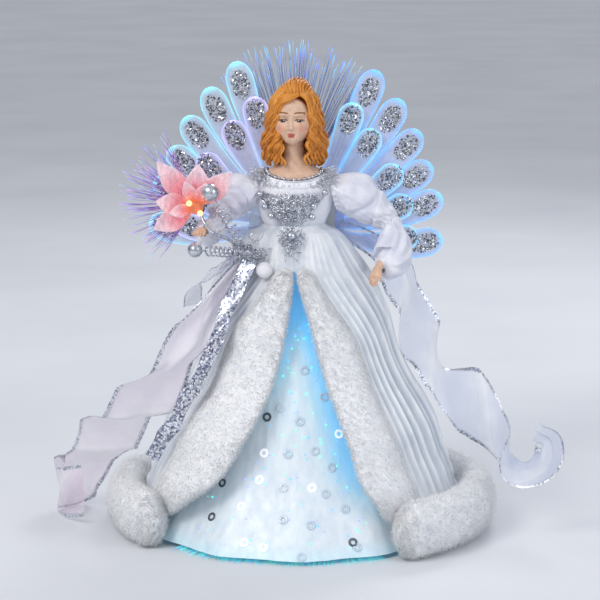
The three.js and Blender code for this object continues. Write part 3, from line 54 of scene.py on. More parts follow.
def make_camera():
    data = bpy.data.cameras.new("camera")
    data.sensor_width = SENSOR_WIDTH
    data.lens = FOCAL_PIXELS / IMAGE_PIXELS * SENSOR_WIDTH
    camera = bpy.data.objects.new("camera", data)
    away = Vector((0, -math.cos(CAMERA_RISE), math.sin(CAMERA_RISE))) * CAMERA_AWAY
    camera.location = CAMERA_AIM + away
    camera.rotation_euler = (-away).to_track_quat("-Z", "Y").to_euler()
    bpy.context.scene.collection.objects.link(camera)
    bpy.context.scene.camera = camera


make_camera()


# Number tools
def smooth(x, low, high):
    t = np.clip((np.asarray(x, float) - low) / (high - low), 0, 1)
    return t * t * (3 - 2 * t)


def mix(a, b, t):
    return a + (b - a) * t


def unit(v):
    return v / np.linalg.norm(v, axis=-1, keepdims=True)


def turns(count):
    """A full turn in equal steps"""
    return np.arange(count) * TAU / count


def spin(turn, a, b):
    """Directions that turn from a toward b"""
    return np.cos(turn)[..., None] * a + np.sin(turn)[..., None] * b


def curve(table, x):
    """Smooth values at x through rows of (place, value, ...)"""
    rows = np.asarray(table, float)
    place, value = rows[:, 0], rows[:, 1:]
    slope = np.gradient(value, place, axis=0)
    x = np.clip(np.asarray(x, float), place[0], place[-1])
    i = np.clip(np.searchsorted(place, x, side="right") - 1, 0, len(place) - 2)
    gap = (place[i + 1] - place[i])[..., None]
    t = (x - place[i])[..., None] / gap
    return ((1 + 2 * t) * (1 - t) ** 2 * value[i] + t * (1 - t) ** 2 * gap * slope[i]
            + t * t * (3 - 2 * t) * value[i + 1] + t * t * (t - 1) * gap * slope[i + 1])


def spline(points, count):
    """Evenly spaced points on a smooth line through the given ones; further columns go along"""
    points = np.asarray(points, float)
    steps = np.linalg.norm(np.diff(points[:, :3], axis=0), axis=1)
    run = np.concatenate([[0], np.cumsum(steps)])
    return curve(np.column_stack([run, points]), np.linspace(0, run[-1], count))


def bezier(a, b, c, t):
    """A bow from a to c that leans toward b"""
    return (1 - t) ** 2 * a + 2 * t * (1 - t) * b + t * t * c


def ripple(x, y, seed):
    """A soft pattern between -1 and 1, from a few crossing waves"""
    draw = np.random.default_rng(seed)
    total = 0
    for _ in range(5):
        a, b = draw.normal(size=2)
        total = total + np.sin(a * x + b * y + draw.uniform(0, TAU))
    return total / 5


# Mesh tools: each shape is (points, faces)
def grid_faces(rows, columns, wrap=False):
    r = np.arange(rows - 1)[:, None]
    c = np.arange(columns if wrap else columns - 1)[None, :]
    d = (c + 1) % columns
    quads = np.stack([r * columns + c, r * columns + d, (r + 1) * columns + d, (r + 1) * columns + c], -1)
    return quads.reshape(-1, 4).tolist()


def grid(points, wrap=False):
    rows, columns = points.shape[:2]
    return points.reshape(-1, 3), grid_faces(rows, columns, wrap)


def capped(points):
    """Closed skin through rings of points"""
    rows, columns = points.shape[:2]
    faces = grid_faces(rows, columns, True)
    faces.append(list(range(columns))[::-1])
    faces.append([(rows - 1) * columns + c for c in range(columns)])
    return points.reshape(-1, 3), faces


def join(shapes):
    points, faces, base = [], [], 0
    for some, polygons in shapes:
        points.append(np.asarray(some))
        faces.extend([[i + base for i in face] for face in polygons])
        base += len(some)
    return np.concatenate(points), faces


def frames(path):
    """Directions along a path and across it, which turn with it as little as they can"""
    tangent = unit(np.gradient(path, axis=0))
    normal = np.zeros_like(path)
    guess = np.cross(tangent[0], (0.21, 0.43, 0.88))
    for i, along in enumerate(tangent):
        guess = unit(guess - along * np.dot(guess, along))
        normal[i] = guess
    return tangent, normal, np.cross(tangent, normal)


def sides_of(along):
    """Two directions across each of many directions"""
    side = unit(np.cross(along, (0.31, 0.53, 0.79)))
    return side, np.cross(along, side)


def tube(path, radius, sides=8, flat=1):
    """Closed tube along a path; flat squeezes its section"""
    path = np.asarray(path, float)
    radius = np.broadcast_to(np.asarray(radius, float), len(path))
    _, normal, other = frames(path)
    ring = spin(turns(sides), normal[:, None], flat * other[:, None])
    return capped(path[:, None] + radius[:, None, None] * ring)


def strands(paths, radii, sides=3):
    """Many thin closed strands; paths is (strand, step, 3) and radii goes along the steps"""
    side, lift = sides_of(unit(np.gradient(paths, axis=1)))
    ring = spin(turns(sides), side[..., None, :], lift[..., None, :])
    points = paths[..., None, :] + np.asarray(radii)[..., None, None] * ring
    count, steps = paths.shape[:2]
    base = np.arange(count)[:, None, None] * steps * sides
    faces = (base + np.array(grid_faces(steps, sides, True))).reshape(-1, 4).tolist()
    ends = np.array([np.arange(sides)[::-1], (steps - 1) * sides + np.arange(sides)])
    return points.reshape(-1, 3), faces + (base + ends).reshape(-1, sides).tolist()


def spikes(root, tip, radius):
    """Many closed three-sided hairs"""
    side, lift = sides_of(unit(tip - root))
    foot = root[:, None] + radius * spin(turns(3), side[:, None], lift[:, None])
    points = np.concatenate([foot, tip[:, None]], 1).reshape(-1, 3)
    one = np.array([[0, 1, 3], [1, 2, 3], [2, 0, 3], [2, 1, 0]])
    return points, (np.arange(len(root))[:, None, None] * 4 + one).reshape(-1, 3).tolist()


def ball(middle, half, across=24, down=14):
    """A closed ball or egg"""
    turn = turns(across)
    fall = np.linspace(0.02, math.pi - 0.02, down)[:, None]
    points = np.stack([np.sin(fall) * np.cos(turn), np.sin(fall) * np.sin(turn), np.cos(fall) + 0 * turn], -1)
    return capped((np.asarray(middle) + points * half)[::-1])


def nets(field, low, high, step):
    """Skin of the places where field(x, y, z) is below zero"""
    axes = [np.arange(a, b + step, step) for a, b in zip(low, high)]
    place = np.stack(np.meshgrid(*axes, indexing="ij"), -1)
    value = field(place[..., 0], place[..., 1], place[..., 2])
    size = np.array(value.shape) - 1
    total, count = np.zeros((*size, 3)), np.zeros(size)
    crossings = []
    for axis in range(3):
        first = [slice(None)] * 3
        second = [slice(None)] * 3
        first[axis], second[axis] = slice(0, -1), slice(1, None)
        a, b = value[tuple(first)], value[tuple(second)]
        cross = (a < 0) != (b < 0)
        share = np.where(cross, a / np.where(cross, a - b, 1), 0)
        at = place[tuple(first)] + share[..., None] * step * np.eye(3)[axis]
        crossings.append((cross, a < 0))
        u, v = [k for k in range(3) if k != axis]
        for du in (0, 1):
            for dv in (0, 1):
                part = [slice(None)] * 3
                part[u], part[v] = slice(du, du + size[u]), slice(dv, dv + size[v])
                here = cross[tuple(part)]
                total += np.where(here[..., None], at[tuple(part)], 0)
                count += here
    used = count > 0
    index = np.full(size, -1)
    index[used] = np.arange(used.sum())
    faces = []
    for axis, (cross, within) in enumerate(crossings):
        u, v = [k for k in range(3) if k != axis]
        where = np.argwhere(cross)
        inner = (where[:, u] > 0) & (where[:, v] > 0) & (where[:, u] < size[u]) & (where[:, v] < size[v])
        where = where[inner]
        corners = []
        for du, dv in ((1, 1), (0, 1), (0, 0), (1, 0)):
            cell = where.copy()
            cell[:, u] -= du
            cell[:, v] -= dv
            corners.append(index[tuple(cell.T)])
        quads = np.stack(corners, -1)
        flip = within[tuple(where.T)] == (axis == 1)
        quads[flip] = quads[flip][:, ::-1]
        faces.extend(quads.tolist())
    return total[used] / count[used][:, None], faces


def capsule(x, y, z, a, b, ra, rb):
    """Distance to a rounded rod between two places"""
    a, b = np.asarray(a, float), np.asarray(b, float)
    d = b - a
    t = np.clip(((x - a[0]) * d[0] + (y - a[1]) * d[1] + (z - a[2]) * d[2]) / np.dot(d, d), 0, 1)
    away = np.sqrt((x - a[0] - t * d[0]) ** 2 + (y - a[1] - t * d[1]) ** 2 + (z - a[2] - t * d[2]) ** 2)
    return away - mix(ra, rb, t)


def egg_field(x, y, z, middle, half):
    """About the distance to an egg shape"""
    k = np.sqrt(sum(((p - m) / h) ** 2 for p, m, h in zip((x, y, z), middle, half)))
    return (k - 1) * min(half)


def merge(a, b, soft):
    """Distance to two shapes that melt into each other"""
    h = np.clip(0.5 + 0.5 * (b - a) / soft, 0, 1)
    return mix(b, a, h) - soft * h * (1 - h)


class Clay:
    """Distance from places x, y, z to a shape that is built up from rods and eggs"""

    def __init__(self, x, y, z, distance):
        self.at = (x, y, z)
        self.distance = distance

    def add(self, other, soft):
        self.distance = merge(self.distance, other, soft)

    def rod(self, a, b, ra, rb, soft):
        self.add(capsule(*self.at, a, b, ra, rb), soft)

    def egg(self, middle, half, soft):
        self.add(egg_field(*self.at, middle, half), soft)

    def hollow(self, middle, half, soft):
        self.distance = -merge(-self.distance, egg_field(*self.at, middle, half), soft)


# Pieces
def mesh_object(name, shape, look, soft=True):
    points, faces = shape
    mesh = bpy.data.meshes.new(name)
    mesh.from_pydata((np.asarray(points) * MM).tolist(), [], faces)
    mesh.polygons.foreach_set("use_smooth", [soft] * len(mesh.polygons))
    mesh.materials.append(look)
    mesh.update()
    piece = bpy.data.objects.new(name, mesh)
    bpy.context.scene.collection.objects.link(piece)
    return piece


def paint(piece, name, colours):
    """A named colour for each point"""
    layer = piece.data.color_attributes.new(name, "FLOAT_COLOR", "POINT")
    layer.data.foreach_set("color", np.column_stack([colours, np.ones(len(colours))]).ravel())


def weigh(piece, name, values):
    """A named value for each point"""
    layer = piece.data.attributes.new(name, "FLOAT", "POINT")
    layer.data.foreach_set("value", np.asarray(values, float).ravel())


def make(name, shape, look, node=None, body="figure", tint=None, soft=True):
    """One named piece that rides on a body and may stand for a solid; tint is a colour for each point"""
    piece = mesh_object(name, shape, look, soft)
    if tint is not None:
        paint(piece, "tint", tint)
    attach(piece, body)
    if node:
        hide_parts(node)
    return piece


# Materials: colours are red, green and blue up to 255, and pattern sizes are in millimetres
PURE = (255, 255, 255)
MIX_A, MIX_B, MIX_OUT = 6, 7, 2


def srgb(red, green, blue):
    part = np.array([red, green, blue]) / 255
    return np.where(part <= 0.04045, part / 12.92, ((part + 0.055) / 1.055) ** 2.4)


class Look:
    """A material whose colour, roughness and relief vary with patterns in the object's own frame"""

    def __init__(self, name, colour, roughness, **sockets):
        self.material = bpy.data.materials.new(name)
        self.material.use_nodes = True
        self.tree = self.material.node_tree
        self.shader = self.tree.nodes["Principled BSDF"]
        self.put("Base Color", (*srgb(*colour), 1)).put("Roughness", roughness)
        for socket, value in sockets.items():
            self.put(socket.replace("_", " "), value)
        self.place = self.node("TexCoord").outputs["Object"]
        self.normal = None

    def fill(self, socket, value):
        """Links a pattern to a socket, or sets a plain value"""
        if isinstance(value, bpy.types.NodeSocket):
            self.tree.links.new(value, socket)
        else:
            socket.default_value = value

    def put(self, name, value):
        self.fill(self.shader.inputs[name], value)
        return self

    def node(self, kind, **inputs):
        node = self.tree.nodes.new(f"ShaderNode{kind}")
        for name, value in inputs.items():
            self.fill(node.inputs[name.replace("_", " ")], value)
        return node

    def scaled(self, size, stretch=(1, 1, 1)):
        scale = [s / (size * MM) for s in stretch]
        return self.node("Mapping", Vector=self.place, Scale=scale).outputs["Vector"]

    def noise(self, size, detail=3, stretch=(1, 1, 1)):
        return self.node("TexNoise", Vector=self.scaled(size, stretch), Scale=1, Detail=detail).outputs["Fac"]

    def cells(self, size):
        return self.node("TexVoronoi", Vector=self.scaled(size), Scale=1).outputs["Color"]

    def waves(self, size, axis, bend):
        node = self.node("TexWave", Vector=self.scaled(size), Scale=0.314, Distortion=bend)
        node.bands_direction = axis
        return node.outputs["Fac"]

    def attribute(self, name, output="Color"):
        node = self.node("Attribute")
        node.attribute_name = name
        return node.outputs[output]

    def ramp(self, factor, *stops):
        """Colours at places along a pattern's range"""
        node = self.node("ValToRGB", Fac=factor)
        while len(node.color_ramp.elements) < len(stops):
            node.color_ramp.elements.new(0.5)
        for element, (at, colour) in zip(node.color_ramp.elements, stops):
            element.position = at
            element.color = (*srgb(*colour), 1)
        return node.outputs["Color"]

    def clouds(self, size, detail, dark, light, low=0.3, high=0.7, stretch=(1, 1, 1)):
        return self.ramp(self.noise(size, detail, stretch), (low, dark), (high, light))

    def blend(self, factor, a, b, mode="MIX"):
        node = self.node("Mix")
        node.data_type = "RGBA"
        node.blend_type = mode
        self.fill(node.inputs["Factor"], factor)
        self.fill(node.inputs[MIX_A], a)
        self.fill(node.inputs[MIX_B], b)
        return node.outputs[MIX_OUT]

    def spread(self, factor, low, high):
        """The middle of a pattern's range, spread from low to high"""
        node = self.node("MapRange", Value=factor, From_Min=0.3, From_Max=0.7, To_Min=low, To_Max=high)
        return node.outputs["Result"]

    def colour(self, socket):
        return self.put("Base Color", socket)

    def painted(self, cloud, share=1.0):
        """The colour painted on the points, darkened by clouds"""
        return self.colour(self.blend(share, self.attribute("tint"), cloud, "MULTIPLY"))

    def rough(self, size, low, high):
        return self.put("Roughness", self.spread(self.noise(size), low, high))

    def glow(self, socket, strength):
        return self.put("Emission Color", socket).put("Emission Strength", strength)

    def relief(self, height, strength, depth):
        node = self.node("Bump", Height=height, Strength=strength, Distance=depth * MM)
        if self.normal:
            self.fill(node.inputs["Normal"], self.normal)
        self.normal = node.outputs["Normal"]
        return self.put("Normal", self.normal)


def plastic(name, dark, light, roughness, **sockets):
    """Moulded plastic or resin with faint flow marks and a fine grain"""
    look = Look(name, light, roughness, **sockets)
    look.colour(look.clouds(14, 5, dark, light))
    look.rough(3, roughness - 0.08, roughness + 0.1)
    return look.relief(look.noise(0.6, 2), 0.25, 0.05).material


def metal(name, dark, light, roughness):
    """Bright metal with slight tarnish and a fine grain"""
    look = Look(name, light, roughness, Metallic=1)
    look.colour(look.clouds(5, 4, dark, light))
    look.rough(1.5, roughness - 0.06, roughness + 0.12)
    return look.relief(look.noise(0.8, 3), 0.2, 0.05).material


def tinted(name, roughness, grain, depth, **sockets):
    """A finish whose colour is painted on the points of the mesh"""
    look = Look(name, PURE, roughness, **sockets)
    look.painted(look.clouds(4, 4, (226, 226, 226), PURE))
    look.rough(2, roughness - 0.06, roughness + 0.08)
    return look.relief(look.noise(grain, 3), 0.3, depth).material


def satin_look(name, dark, light, thread):
    """Satin: fine threads, a soft sheen and clouded whites"""
    look = Look(name, light, 0.38, Sheen_Weight=0.25, Specular_IOR_Level=0.45)
    look.colour(look.clouds(11, 4, dark, light, 0.25, 0.75))
    look.rough(6, 0.3, 0.5)
    look.relief(look.waves(thread, "Z", 1.2), 0.12, 0.06)
    return look.relief(look.noise(3, 4), 0.25, 0.25).material


def crinkle_look():
    """Pleated crinkle cloth, with the shade of its folds painted on its points"""
    look = Look("crinkle_cloth", (244, 245, 248), 0.6, Sheen_Weight=0.2)
    look.painted(look.clouds(9, 5, (222, 228, 233), PURE, 0.2, 0.6, (1, 1, 0.5)))
    look.rough(4, 0.5, 0.72)
    look.relief(look.noise(1.6, 4, (1, 1, 0.35)), 0.35, 0.3)
    return look.relief(look.waves(0.7, "DIAGONAL", 2), 0.1, 0.06).material


def plush_look():
    """The skin under the fur's hairs"""
    look = Look("plush", (252, 252, 253), 0.9, Sheen_Weight=0.3)
    look.colour(look.clouds(5, 4, (236, 239, 245), (254, 254, 254), 0.25, 0.6))
    return look.relief(look.noise(0.8, 3), 0.5, 0.5).material


def fur_look():
    look = Look("plush_hair", (253, 253, 254), 0.85)
    look.colour(look.clouds(6, 4, (242, 244, 249), PURE, 0.25, 0.6))
    return look.rough(3, 0.75, 0.95).material


def lit_satin_look():
    """The underskirt: satin with the colour of the light behind it painted on its points"""
    look = Look("lit_satin", (235, 242, 248), 0.36, Sheen_Weight=0.2)
    look.painted(look.clouds(5, 5, (234, 239, 245), PURE, 0.25, 0.65, (1, 1, 0.12)))
    look.glow(look.attribute("edge"), 0.35)
    look.rough(5, 0.3, 0.52)
    look.relief(look.waves(0.8, "Z", 1.5), 0.1, 0.06)
    return look.relief(look.noise(4, 4), 0.3, 0.35).material


def acrylic_look():
    """Clear moulded acrylic with light caught in its edges"""
    look = Look("acrylic", (232, 236, 250), 0.16, Specular_IOR_Level=0.6, Transmission_Weight=0.25)
    look.painted(look.clouds(12, 4, (216, 222, 244), (250, 250, 255)), 0.6)
    look.glow(look.attribute("edge"), 0.85)
    look.put("Alpha", look.spread(look.noise(9, 4), 0.55, 0.8))
    look.rough(4, 0.1, 0.26)
    return look.relief(look.noise(1.2, 2), 0.15, 0.1).material


def organza_look(name, pale, deep):
    """Sheer woven ribbon; wired is 1 on its metal edges, which have painted glints, and fold runs over each
    crease, where the cloth is painted from deep shade to a white highlight
    """
    look = Look(name, pale, 0.4, Sheen_Weight=0.4)
    weave = look.blend(0.5, look.waves(0.55, "X", 3), look.waves(0.55, "Z", 3), "ADD")
    fold, edge = look.attribute("fold", "Fac"), look.attribute("wired", "Fac")
    shaded = look.ramp(fold, (0.05, deep), (0.5, pale), (0.95, PURE))
    cloth = look.blend(0.4, shaded, look.clouds(16, 4, deep, pale))
    wire = look.ramp(look.cells(0.9), (0.2, (120, 124, 140)), (0.7, (245, 247, 255)))
    look.colour(look.blend(edge, cloth, wire))
    thin = look.ramp(weave, (0.2, (96, 96, 96)), (0.9, (172, 172, 172)))
    thick = look.ramp(weave, (0.2, (160, 160, 160)), (0.9, (228, 228, 228)))
    look.put("Alpha", look.blend(edge, look.blend(fold, thin, thick), (1, 1, 1, 1)))
    look.put("Metallic", edge).rough(2, 0.28, 0.5)
    return look.relief(weave, 0.3, 0.1).material


def glitter_look():
    look = Look("glitter", (210, 214, 226), 0.22, Metallic=1)
    look.colour(look.attribute("tint"))
    return look.rough(0.8, 0.12, 0.35).material


def fibre_look():
    """Thin clear light fibres, bright at their tips"""
    look = Look("fibre", (150, 160, 200), 0.2, Specular_IOR_Level=0.6)
    look.colour(look.attribute("tint")).glow(look.attribute("edge"), 1)
    return look.rough(2, 0.15, 0.3).material


def petal_look():
    """Veined translucent petals with light inside"""
    look = Look("lit_petal", (240, 110, 130), 0.25, Transmission_Weight=0.2)
    look.painted(look.clouds(2.4, 4, (196, 200, 208), PURE, stretch=(1, 1, 0.5)))
    look.glow(look.attribute("tint"), 0.22)
    look.put("Alpha", look.spread(look.noise(6), 0.62, 0.85))
    look.rough(3, 0.18, 0.34)
    return look.relief(look.noise(1.6, 3, (1, 1, 0.4)), 0.3, 0.2).material


def bulb_look():
    look = Look("warm_bulb", (255, 236, 190), 0.12, Transmission_Weight=0.3)
    warm = look.clouds(2, 3, (255, 205, 120), (255, 244, 214))
    look.colour(warm).glow(warm, 0.7)
    return look.rough(1, 0.08, 0.2).material


def gel_look(name, dark, light):
    """Clear colour film"""
    look = Look(name, light, 0.2, Transmission_Weight=0.5)
    look.colour(look.clouds(7, 3, dark, light))
    look.rough(2, 0.14, 0.28)
    return look.relief(look.noise(5, 2), 0.1, 0.1).material


def lame_look():
    """Narrow foil strip: small facets, some bright and some dark, as painted glints and dark reflections"""
    look = Look("lame", (215, 219, 228), 0.25, Metallic=0.85)
    facets = look.cells(1.3)
    look.colour(look.ramp(facets, (0.2, (104, 108, 130)), (0.5, (180, 186, 206)), (0.75, (250, 251, 255))))
    look.put("Roughness", look.spread(look.cells(0.9), 0.25, 0.5))
    return look.relief(facets, 0.8, 0.45).material


SATIN = satin_look("satin", (226, 228, 238), (247, 247, 250), 0.8)
SLEEVE = satin_look("sleeve_satin", (206, 209, 226), (245, 245, 250), 0.7)
CRINKLE = crinkle_look()
PLUSH = plush_look()
FUR = fur_look()
LIT_SATIN = lit_satin_look()
SKIN = tinted("skin", 0.42, 0.9, 0.04, Specular_IOR_Level=0.4)
HAIR = tinted("moulded_hair", 0.36, 0.8, 0.12, Specular_IOR_Level=0.5)
ACRYLIC = acrylic_look()
GLITTER = glitter_look()
FIBRE = fibre_look()
PETAL = petal_look()
BULB = bulb_look()
LAME = lame_look()
SILVER = metal("silver_trim", (168, 172, 184), (232, 235, 242), 0.22)
TINSEL = metal("tinsel", (208, 212, 222), (250, 251, 255), 0.32)
STEEL = metal("steel", (120, 124, 130), (176, 180, 186), 0.34)
PEARL = plastic("pearl", (222, 220, 228), (250, 249, 250), 0.2, Coat_Weight=0.6, Sheen_Weight=0.2)
WHITE = plastic("white_plastic", (214, 214, 210), (236, 236, 232), 0.45)
DARK = plastic("dark_plastic", (30, 31, 34), (48, 49, 53), 0.4)
RING_LIT = plastic("ring_lit", (236, 242, 250), PURE, 0.15, Emission_Color=(1, 1, 1, 1), Emission_Strength=0.3)
RING_CLEAR = plastic("ring_clear", (196, 214, 230), (226, 238, 248), 0.12, Coat_Weight=0.8)
RING_DARK = plastic("ring_dark", (58, 66, 80), (96, 106, 122), 0.15, Coat_Weight=0.8)
ORGANZA_PINK = organza_look("organza_pink", (238, 226, 240), (200, 166, 200))
ORGANZA_BLUE = organza_look("organza_blue", (226, 232, 248), (156, 170, 214))

# Carried-over solids and their finishes
KEPT = {
    WHITE: ["core_shell", "tree_socket", "light_housing", "housing_cover", "torso_form", "wing_bracket"],
    DARK: ["base_plate", "lead_grommet", "wheel_motor", "lamp_holder", "fibre_trunk"],
    STEEL: ["wheel_spindle", "colour_wheel", "fibre_ferrule", "left_arm_wire", "right_arm_wire"],
    BULB: ["lamp"],
    gel_look("gel_blue", (20, 60, 190), (40, 96, 230)): ["gel_blue"],
    gel_look("gel_cyan", (20, 160, 180), (60, 205, 220)): ["gel_cyan"],
    gel_look("gel_pink", (205, 60, 130), (236, 104, 170)): ["gel_pink"],
    gel_look("gel_amber", (220, 140, 30), (250, 182, 70)): ["gel_amber"],
}


def dress_kept():
    for look, names in KEPT.items():
        for name in names:
            data = bpy.data.objects[name].data
            data.materials.clear()
            data.materials.append(look)




# Body lines: height, half width, half depth
BODY_X = -5
BODY_LINE = [
    (188, 17, 13.5), (198, 18, 13.9), (210, 19, 14.6), (222, 23.5, 17.8), (232, 25.5, 16.6),
    (240, 24.8, 14.8), (246, 21.5, 12), (250, 15.5, 9.6), (254, 8.8, 7.8), (259, 6.8, 6.8), (268, 6.8, 6.8),
]


def body_at(angle, z, out):
    """A place on the body; the angle runs from +X, so the front is at -90 degrees"""
    half = curve(BODY_LINE, z)
    x = BODY_X + (half[..., 0] + out) * np.cos(angle)
    return np.stack([x, (half[..., 1] + out) * np.sin(angle), z + 0 * angle], -1)


def on_body(x, z, out):
    """The place on the front of the body that is seen at x and z"""
    half = curve(BODY_LINE, z)
    share = np.clip((x - BODY_X) / (half[..., 0] + out), -0.99, 0.99)
    return np.stack([x + 0 * z, -(half[..., 1] + out) * np.sqrt(1 - share**2), z + 0 * x], -1)


# Bodice: satin over the torso, with a turned band along its top edge
BODICE_BOTTOM = 193
BODICE_TOP = 242.5
BODICE_OUT = 1.6
NECK_RISE = 5.4
BAND_DEEP = 5.5


def neck_line(angle):
    """The bodice's top dips in front and behind, and rises over the shoulders"""
    return BODICE_TOP + NECK_RISE * np.cos(angle) ** 2


def bodice():
    angle = turns(120)
    top = neck_line(angle)
    z = mix(BODICE_BOTTOM, top, np.linspace(0, 1, 64)[:, None])
    front = np.clip(-np.sin(angle), 0, 1)
    seam = -0.5 * np.exp(-((np.abs(np.cos(angle)) - 0.45) / 0.05) ** 2) * front
    creases = 0.35 * ripple(angle * 9, z / 5, 3) * smooth(z, 225, 195)
    band = 0.7 * (smooth(z, top - BAND_DEEP, top - BAND_DEEP + 1.2) - 0.4 * smooth(z, top - 1.1, top))
    points = body_at(angle + 0 * z, z, BODICE_OUT + seam + creases + band)
    piece = make("bodice_satin", grid(points, True), SATIN, "bodice")


# Gown lines: height and radius
LEAN_LOW, LEAN_HIGH = 60, 190
FLAT_LOW, FLAT_WAIST, FLAT_BACK = 90, 0.86, 0.87
HEM_Z = 4
SKIRT_TOP = 191
GOWN_END = 25
GOWN_TOP = 212
FUR_TOP = 186
UNDER_LINE = [
    (0, 108), (4, 106), (18, 98), (35, 89), (60, 80), (90, 70), (120, 60), (150, 51), (175, 39.5), (191, 18.3),
]
GOWN_LINE = [
    (25, 105), (44, 103.6), (60, 97.5), (78, 92), (94, 84), (106, 77), (122, 70), (155, 62), (180, 51),
    (193, 42), (205, 32), (212, 22.4),
]
BACK_PLANE, BACK_SPREAD, WAIST_BACK_Z = 18.3, 0.9, 196

# The opening in front: degrees from the middle to the gown's edge, on each side, and the fur along it
OPENING_TOP = 1.5
OPENING = {1: 33, -1: 54}
FUR_INNER = {1: (24, 0.75), -1: (40.5, 1.5)}
FUR_WIDTH = 27


def lean(z):
    """The gown leans toward the body's middle as it rises"""
    return BODY_X * smooth(z, LEAN_LOW, LEAN_HIGH)


def around(angle, radius, z, back_room=1000):
    """A place on the gown; the angle runs from the front, positive to +X"""
    flat = mix(1, FLAT_WAIST, smooth(z, FLAT_LOW, LEAN_HIGH))
    behind = np.minimum(np.minimum(flat, FLAT_BACK), back_room / radius)
    flat = np.where(np.cos(angle) < 0, behind, flat)
    return np.stack([lean(z) + radius * np.sin(angle), -flat * radius * np.cos(angle), z + 0 * angle], -1)


def back_room(z):
    """Behind the waist the gown hangs flat, clear of the wing bracket"""
    return BACK_PLANE + BACK_SPREAD * np.maximum(0, WAIST_BACK_Z - z)


def under_radius(angle, z):
    middle = math.radians((OPENING[1] - OPENING[-1]) / 2)
    reach = math.radians((OPENING[1] + OPENING[-1]) / 2)
    turn = np.clip(np.abs(angle - middle) / reach, 0, 1.25)
    in_front = np.cos(turn * math.pi / 2 * 0.8)
    low = 1 - smooth(z, HEM_Z, 70)
    folds = 1.8 * low * np.cos(12 * angle)
    fine = (0.3 + 0.5 * low) * ripple(angle * 26, z / 60, 8) + 0.22 * ripple(angle * 90, z / 40, 9)
    return curve(UNDER_LINE, z)[..., 0] + 6 * low * in_front + folds + fine


def open_share(z):
    return 1 - np.clip((z - GOWN_END) / (FUR_TOP - GOWN_END), 0, 1)


def edge_angle(side, z):
    return np.radians(mix(OPENING_TOP, OPENING[side], open_share(z) ** 0.9))


def fur_inner(side, z):
    """Where the pile of the front fur ends toward the middle"""
    wide, power = FUR_INNER[side]
    corner = OPENING[side] - OPENING_TOP - wide
    return np.radians(OPENING_TOP + wide * open_share(z) ** power + corner * (1 - smooth(z, 16, 56)))


def fur_angle(z):
    share = mix(0.35, 1, smooth(open_share(z), 0, 0.35))
    return FUR_WIDTH / np.maximum(curve(GOWN_LINE, z)[..., 0], FUR_WIDTH) * share


# Underskirt: smooth satin, lit from behind at its top, beside the fur and a little at its hem
GLOW_BLUE = srgb(116, 198, 250)
GLOW_CYAN = srgb(160, 226, 242)
CLOTH_WHITE = srgb(243, 246, 250)


def underskirt():
    angle = (np.arange(420) / 420 - 0.5) * TAU
    z = mix(HEM_Z - 1, SKIRT_TOP, np.linspace(0, 1, 100))[:, None]
    points = around(angle[None, :] + 0 * z, under_radius(angle[None, :], z), z)
    x, height = points[..., 0], points[..., 2]
    right, left = fur_inner(1, z), fur_inner(-1, z)
    strong = 0.7 * smooth(height, 125, 178)
    strong = strong + 0.75 * smooth(angle, right - 0.3, right + 0.05) * smooth(height, 15, 60)
    strong = strong + 0.6 * smooth(-angle, left - 0.2, left + 0.05) * smooth(height, 95, 130)
    faint = 0.1 + 0.2 * (1 - smooth(height, 4, 14)) + 0.16 * smooth(height, 55, 150)
    faint = faint + 0.04 * ripple(x / 14, height / 18, 5) + 0.05 * ripple(angle * 150, height / 70, 6)
    glow = np.clip(strong + faint, 0, 1)[..., None]
    light = mix(GLOW_CYAN, GLOW_BLUE, np.clip(strong, 0, 1)[..., None])
    piece = make("underskirt_satin", grid(points, True), LIT_SATIN, "underskirt",
                 tint=mix(CLOTH_WHITE, light, glow).reshape(-1, 3))
    paint(piece, "edge", (light * glow).reshape(-1, 3))


# Ring sequins and light points on the underskirt, each at a place (x, z) seen from the front
# The sequins are one clear kind in three copies: lit with a painted glow, plain, and painted dark as painted
# shade
RINGS = {
    "bright": (RING_LIT, [(-25, 67), (-28, 50), (7, 46), (-40, 33), (-38, 12), (-25, 10), (25, 79)]),
    "faint": (RING_CLEAR, [(-9, 67), (9, 69), (6, 24), (16, 42), (29, 32), (-12, 27), (-12, 46), (-1, 88),
                           (0, 6), (37, 9), (15, 103), (2, 120), (-14, 96), (20, 58)]),
    "dark": (RING_DARK, [(-23, 90), (-53, 45), (-60, 24), (34, 12)]),
}
RING_OUTER, RING_INNER, RING_THICK = 3.1, 1.5, 0.25
RING_SIDES = 28
RIM = (0.3, 0.2)
POINT_COUNT = 110
POINT_COLOURS = [(70, 190, 255), (90, 240, 235), (120, 250, 190), (150, 160, 255)]


def skirt_spot(x, z, out):
    """The place on the front of the underskirt seen at x and z, and the way it faces"""
    angle = np.arcsin(np.clip(x / curve(UNDER_LINE, z)[0], -0.95, 0.95))
    for _ in range(4):
        angle = np.arcsin(np.clip((x - lean(z)) / under_radius(angle, z), -0.95, 0.95))

    def spot(angle, z):
        return around(angle, under_radius(angle, z), np.float64(z))

    at = spot(angle, z)
    side = spot(angle + 0.03, z) - at
    facing = unit(np.cross(side, spot(angle, z + 3) - at))
    return at + facing * out, facing, unit(side)


def washer(at, facing, side):
    """A flat ring with rounded rims"""
    across = spin(turns(RING_SIDES)[:, None], side, np.cross(facing, side))
    top = RING_THICK + RIM[1]
    profile = [(RING_INNER, 0), (RING_INNER, RING_THICK), (RING_INNER + RIM[0], top),
               (RING_OUTER - RIM[0], top), (RING_OUTER, RING_THICK), (RING_OUTER, 0)]
    points = np.concatenate([at + across * r + facing * h for r, h in profile], axis=1)
    faces = np.array(grid_faces(RING_SIDES + 1, len(profile), True)) % (RING_SIDES * len(profile))
    return points.reshape(-1, 3), faces.tolist()


def sequins():
    for name, (look, places) in RINGS.items():
        shapes = [washer(*skirt_spot(x, z, 0.35)) for x, z in places]
        make(f"ring_sequins_{name}", join(shapes), look)


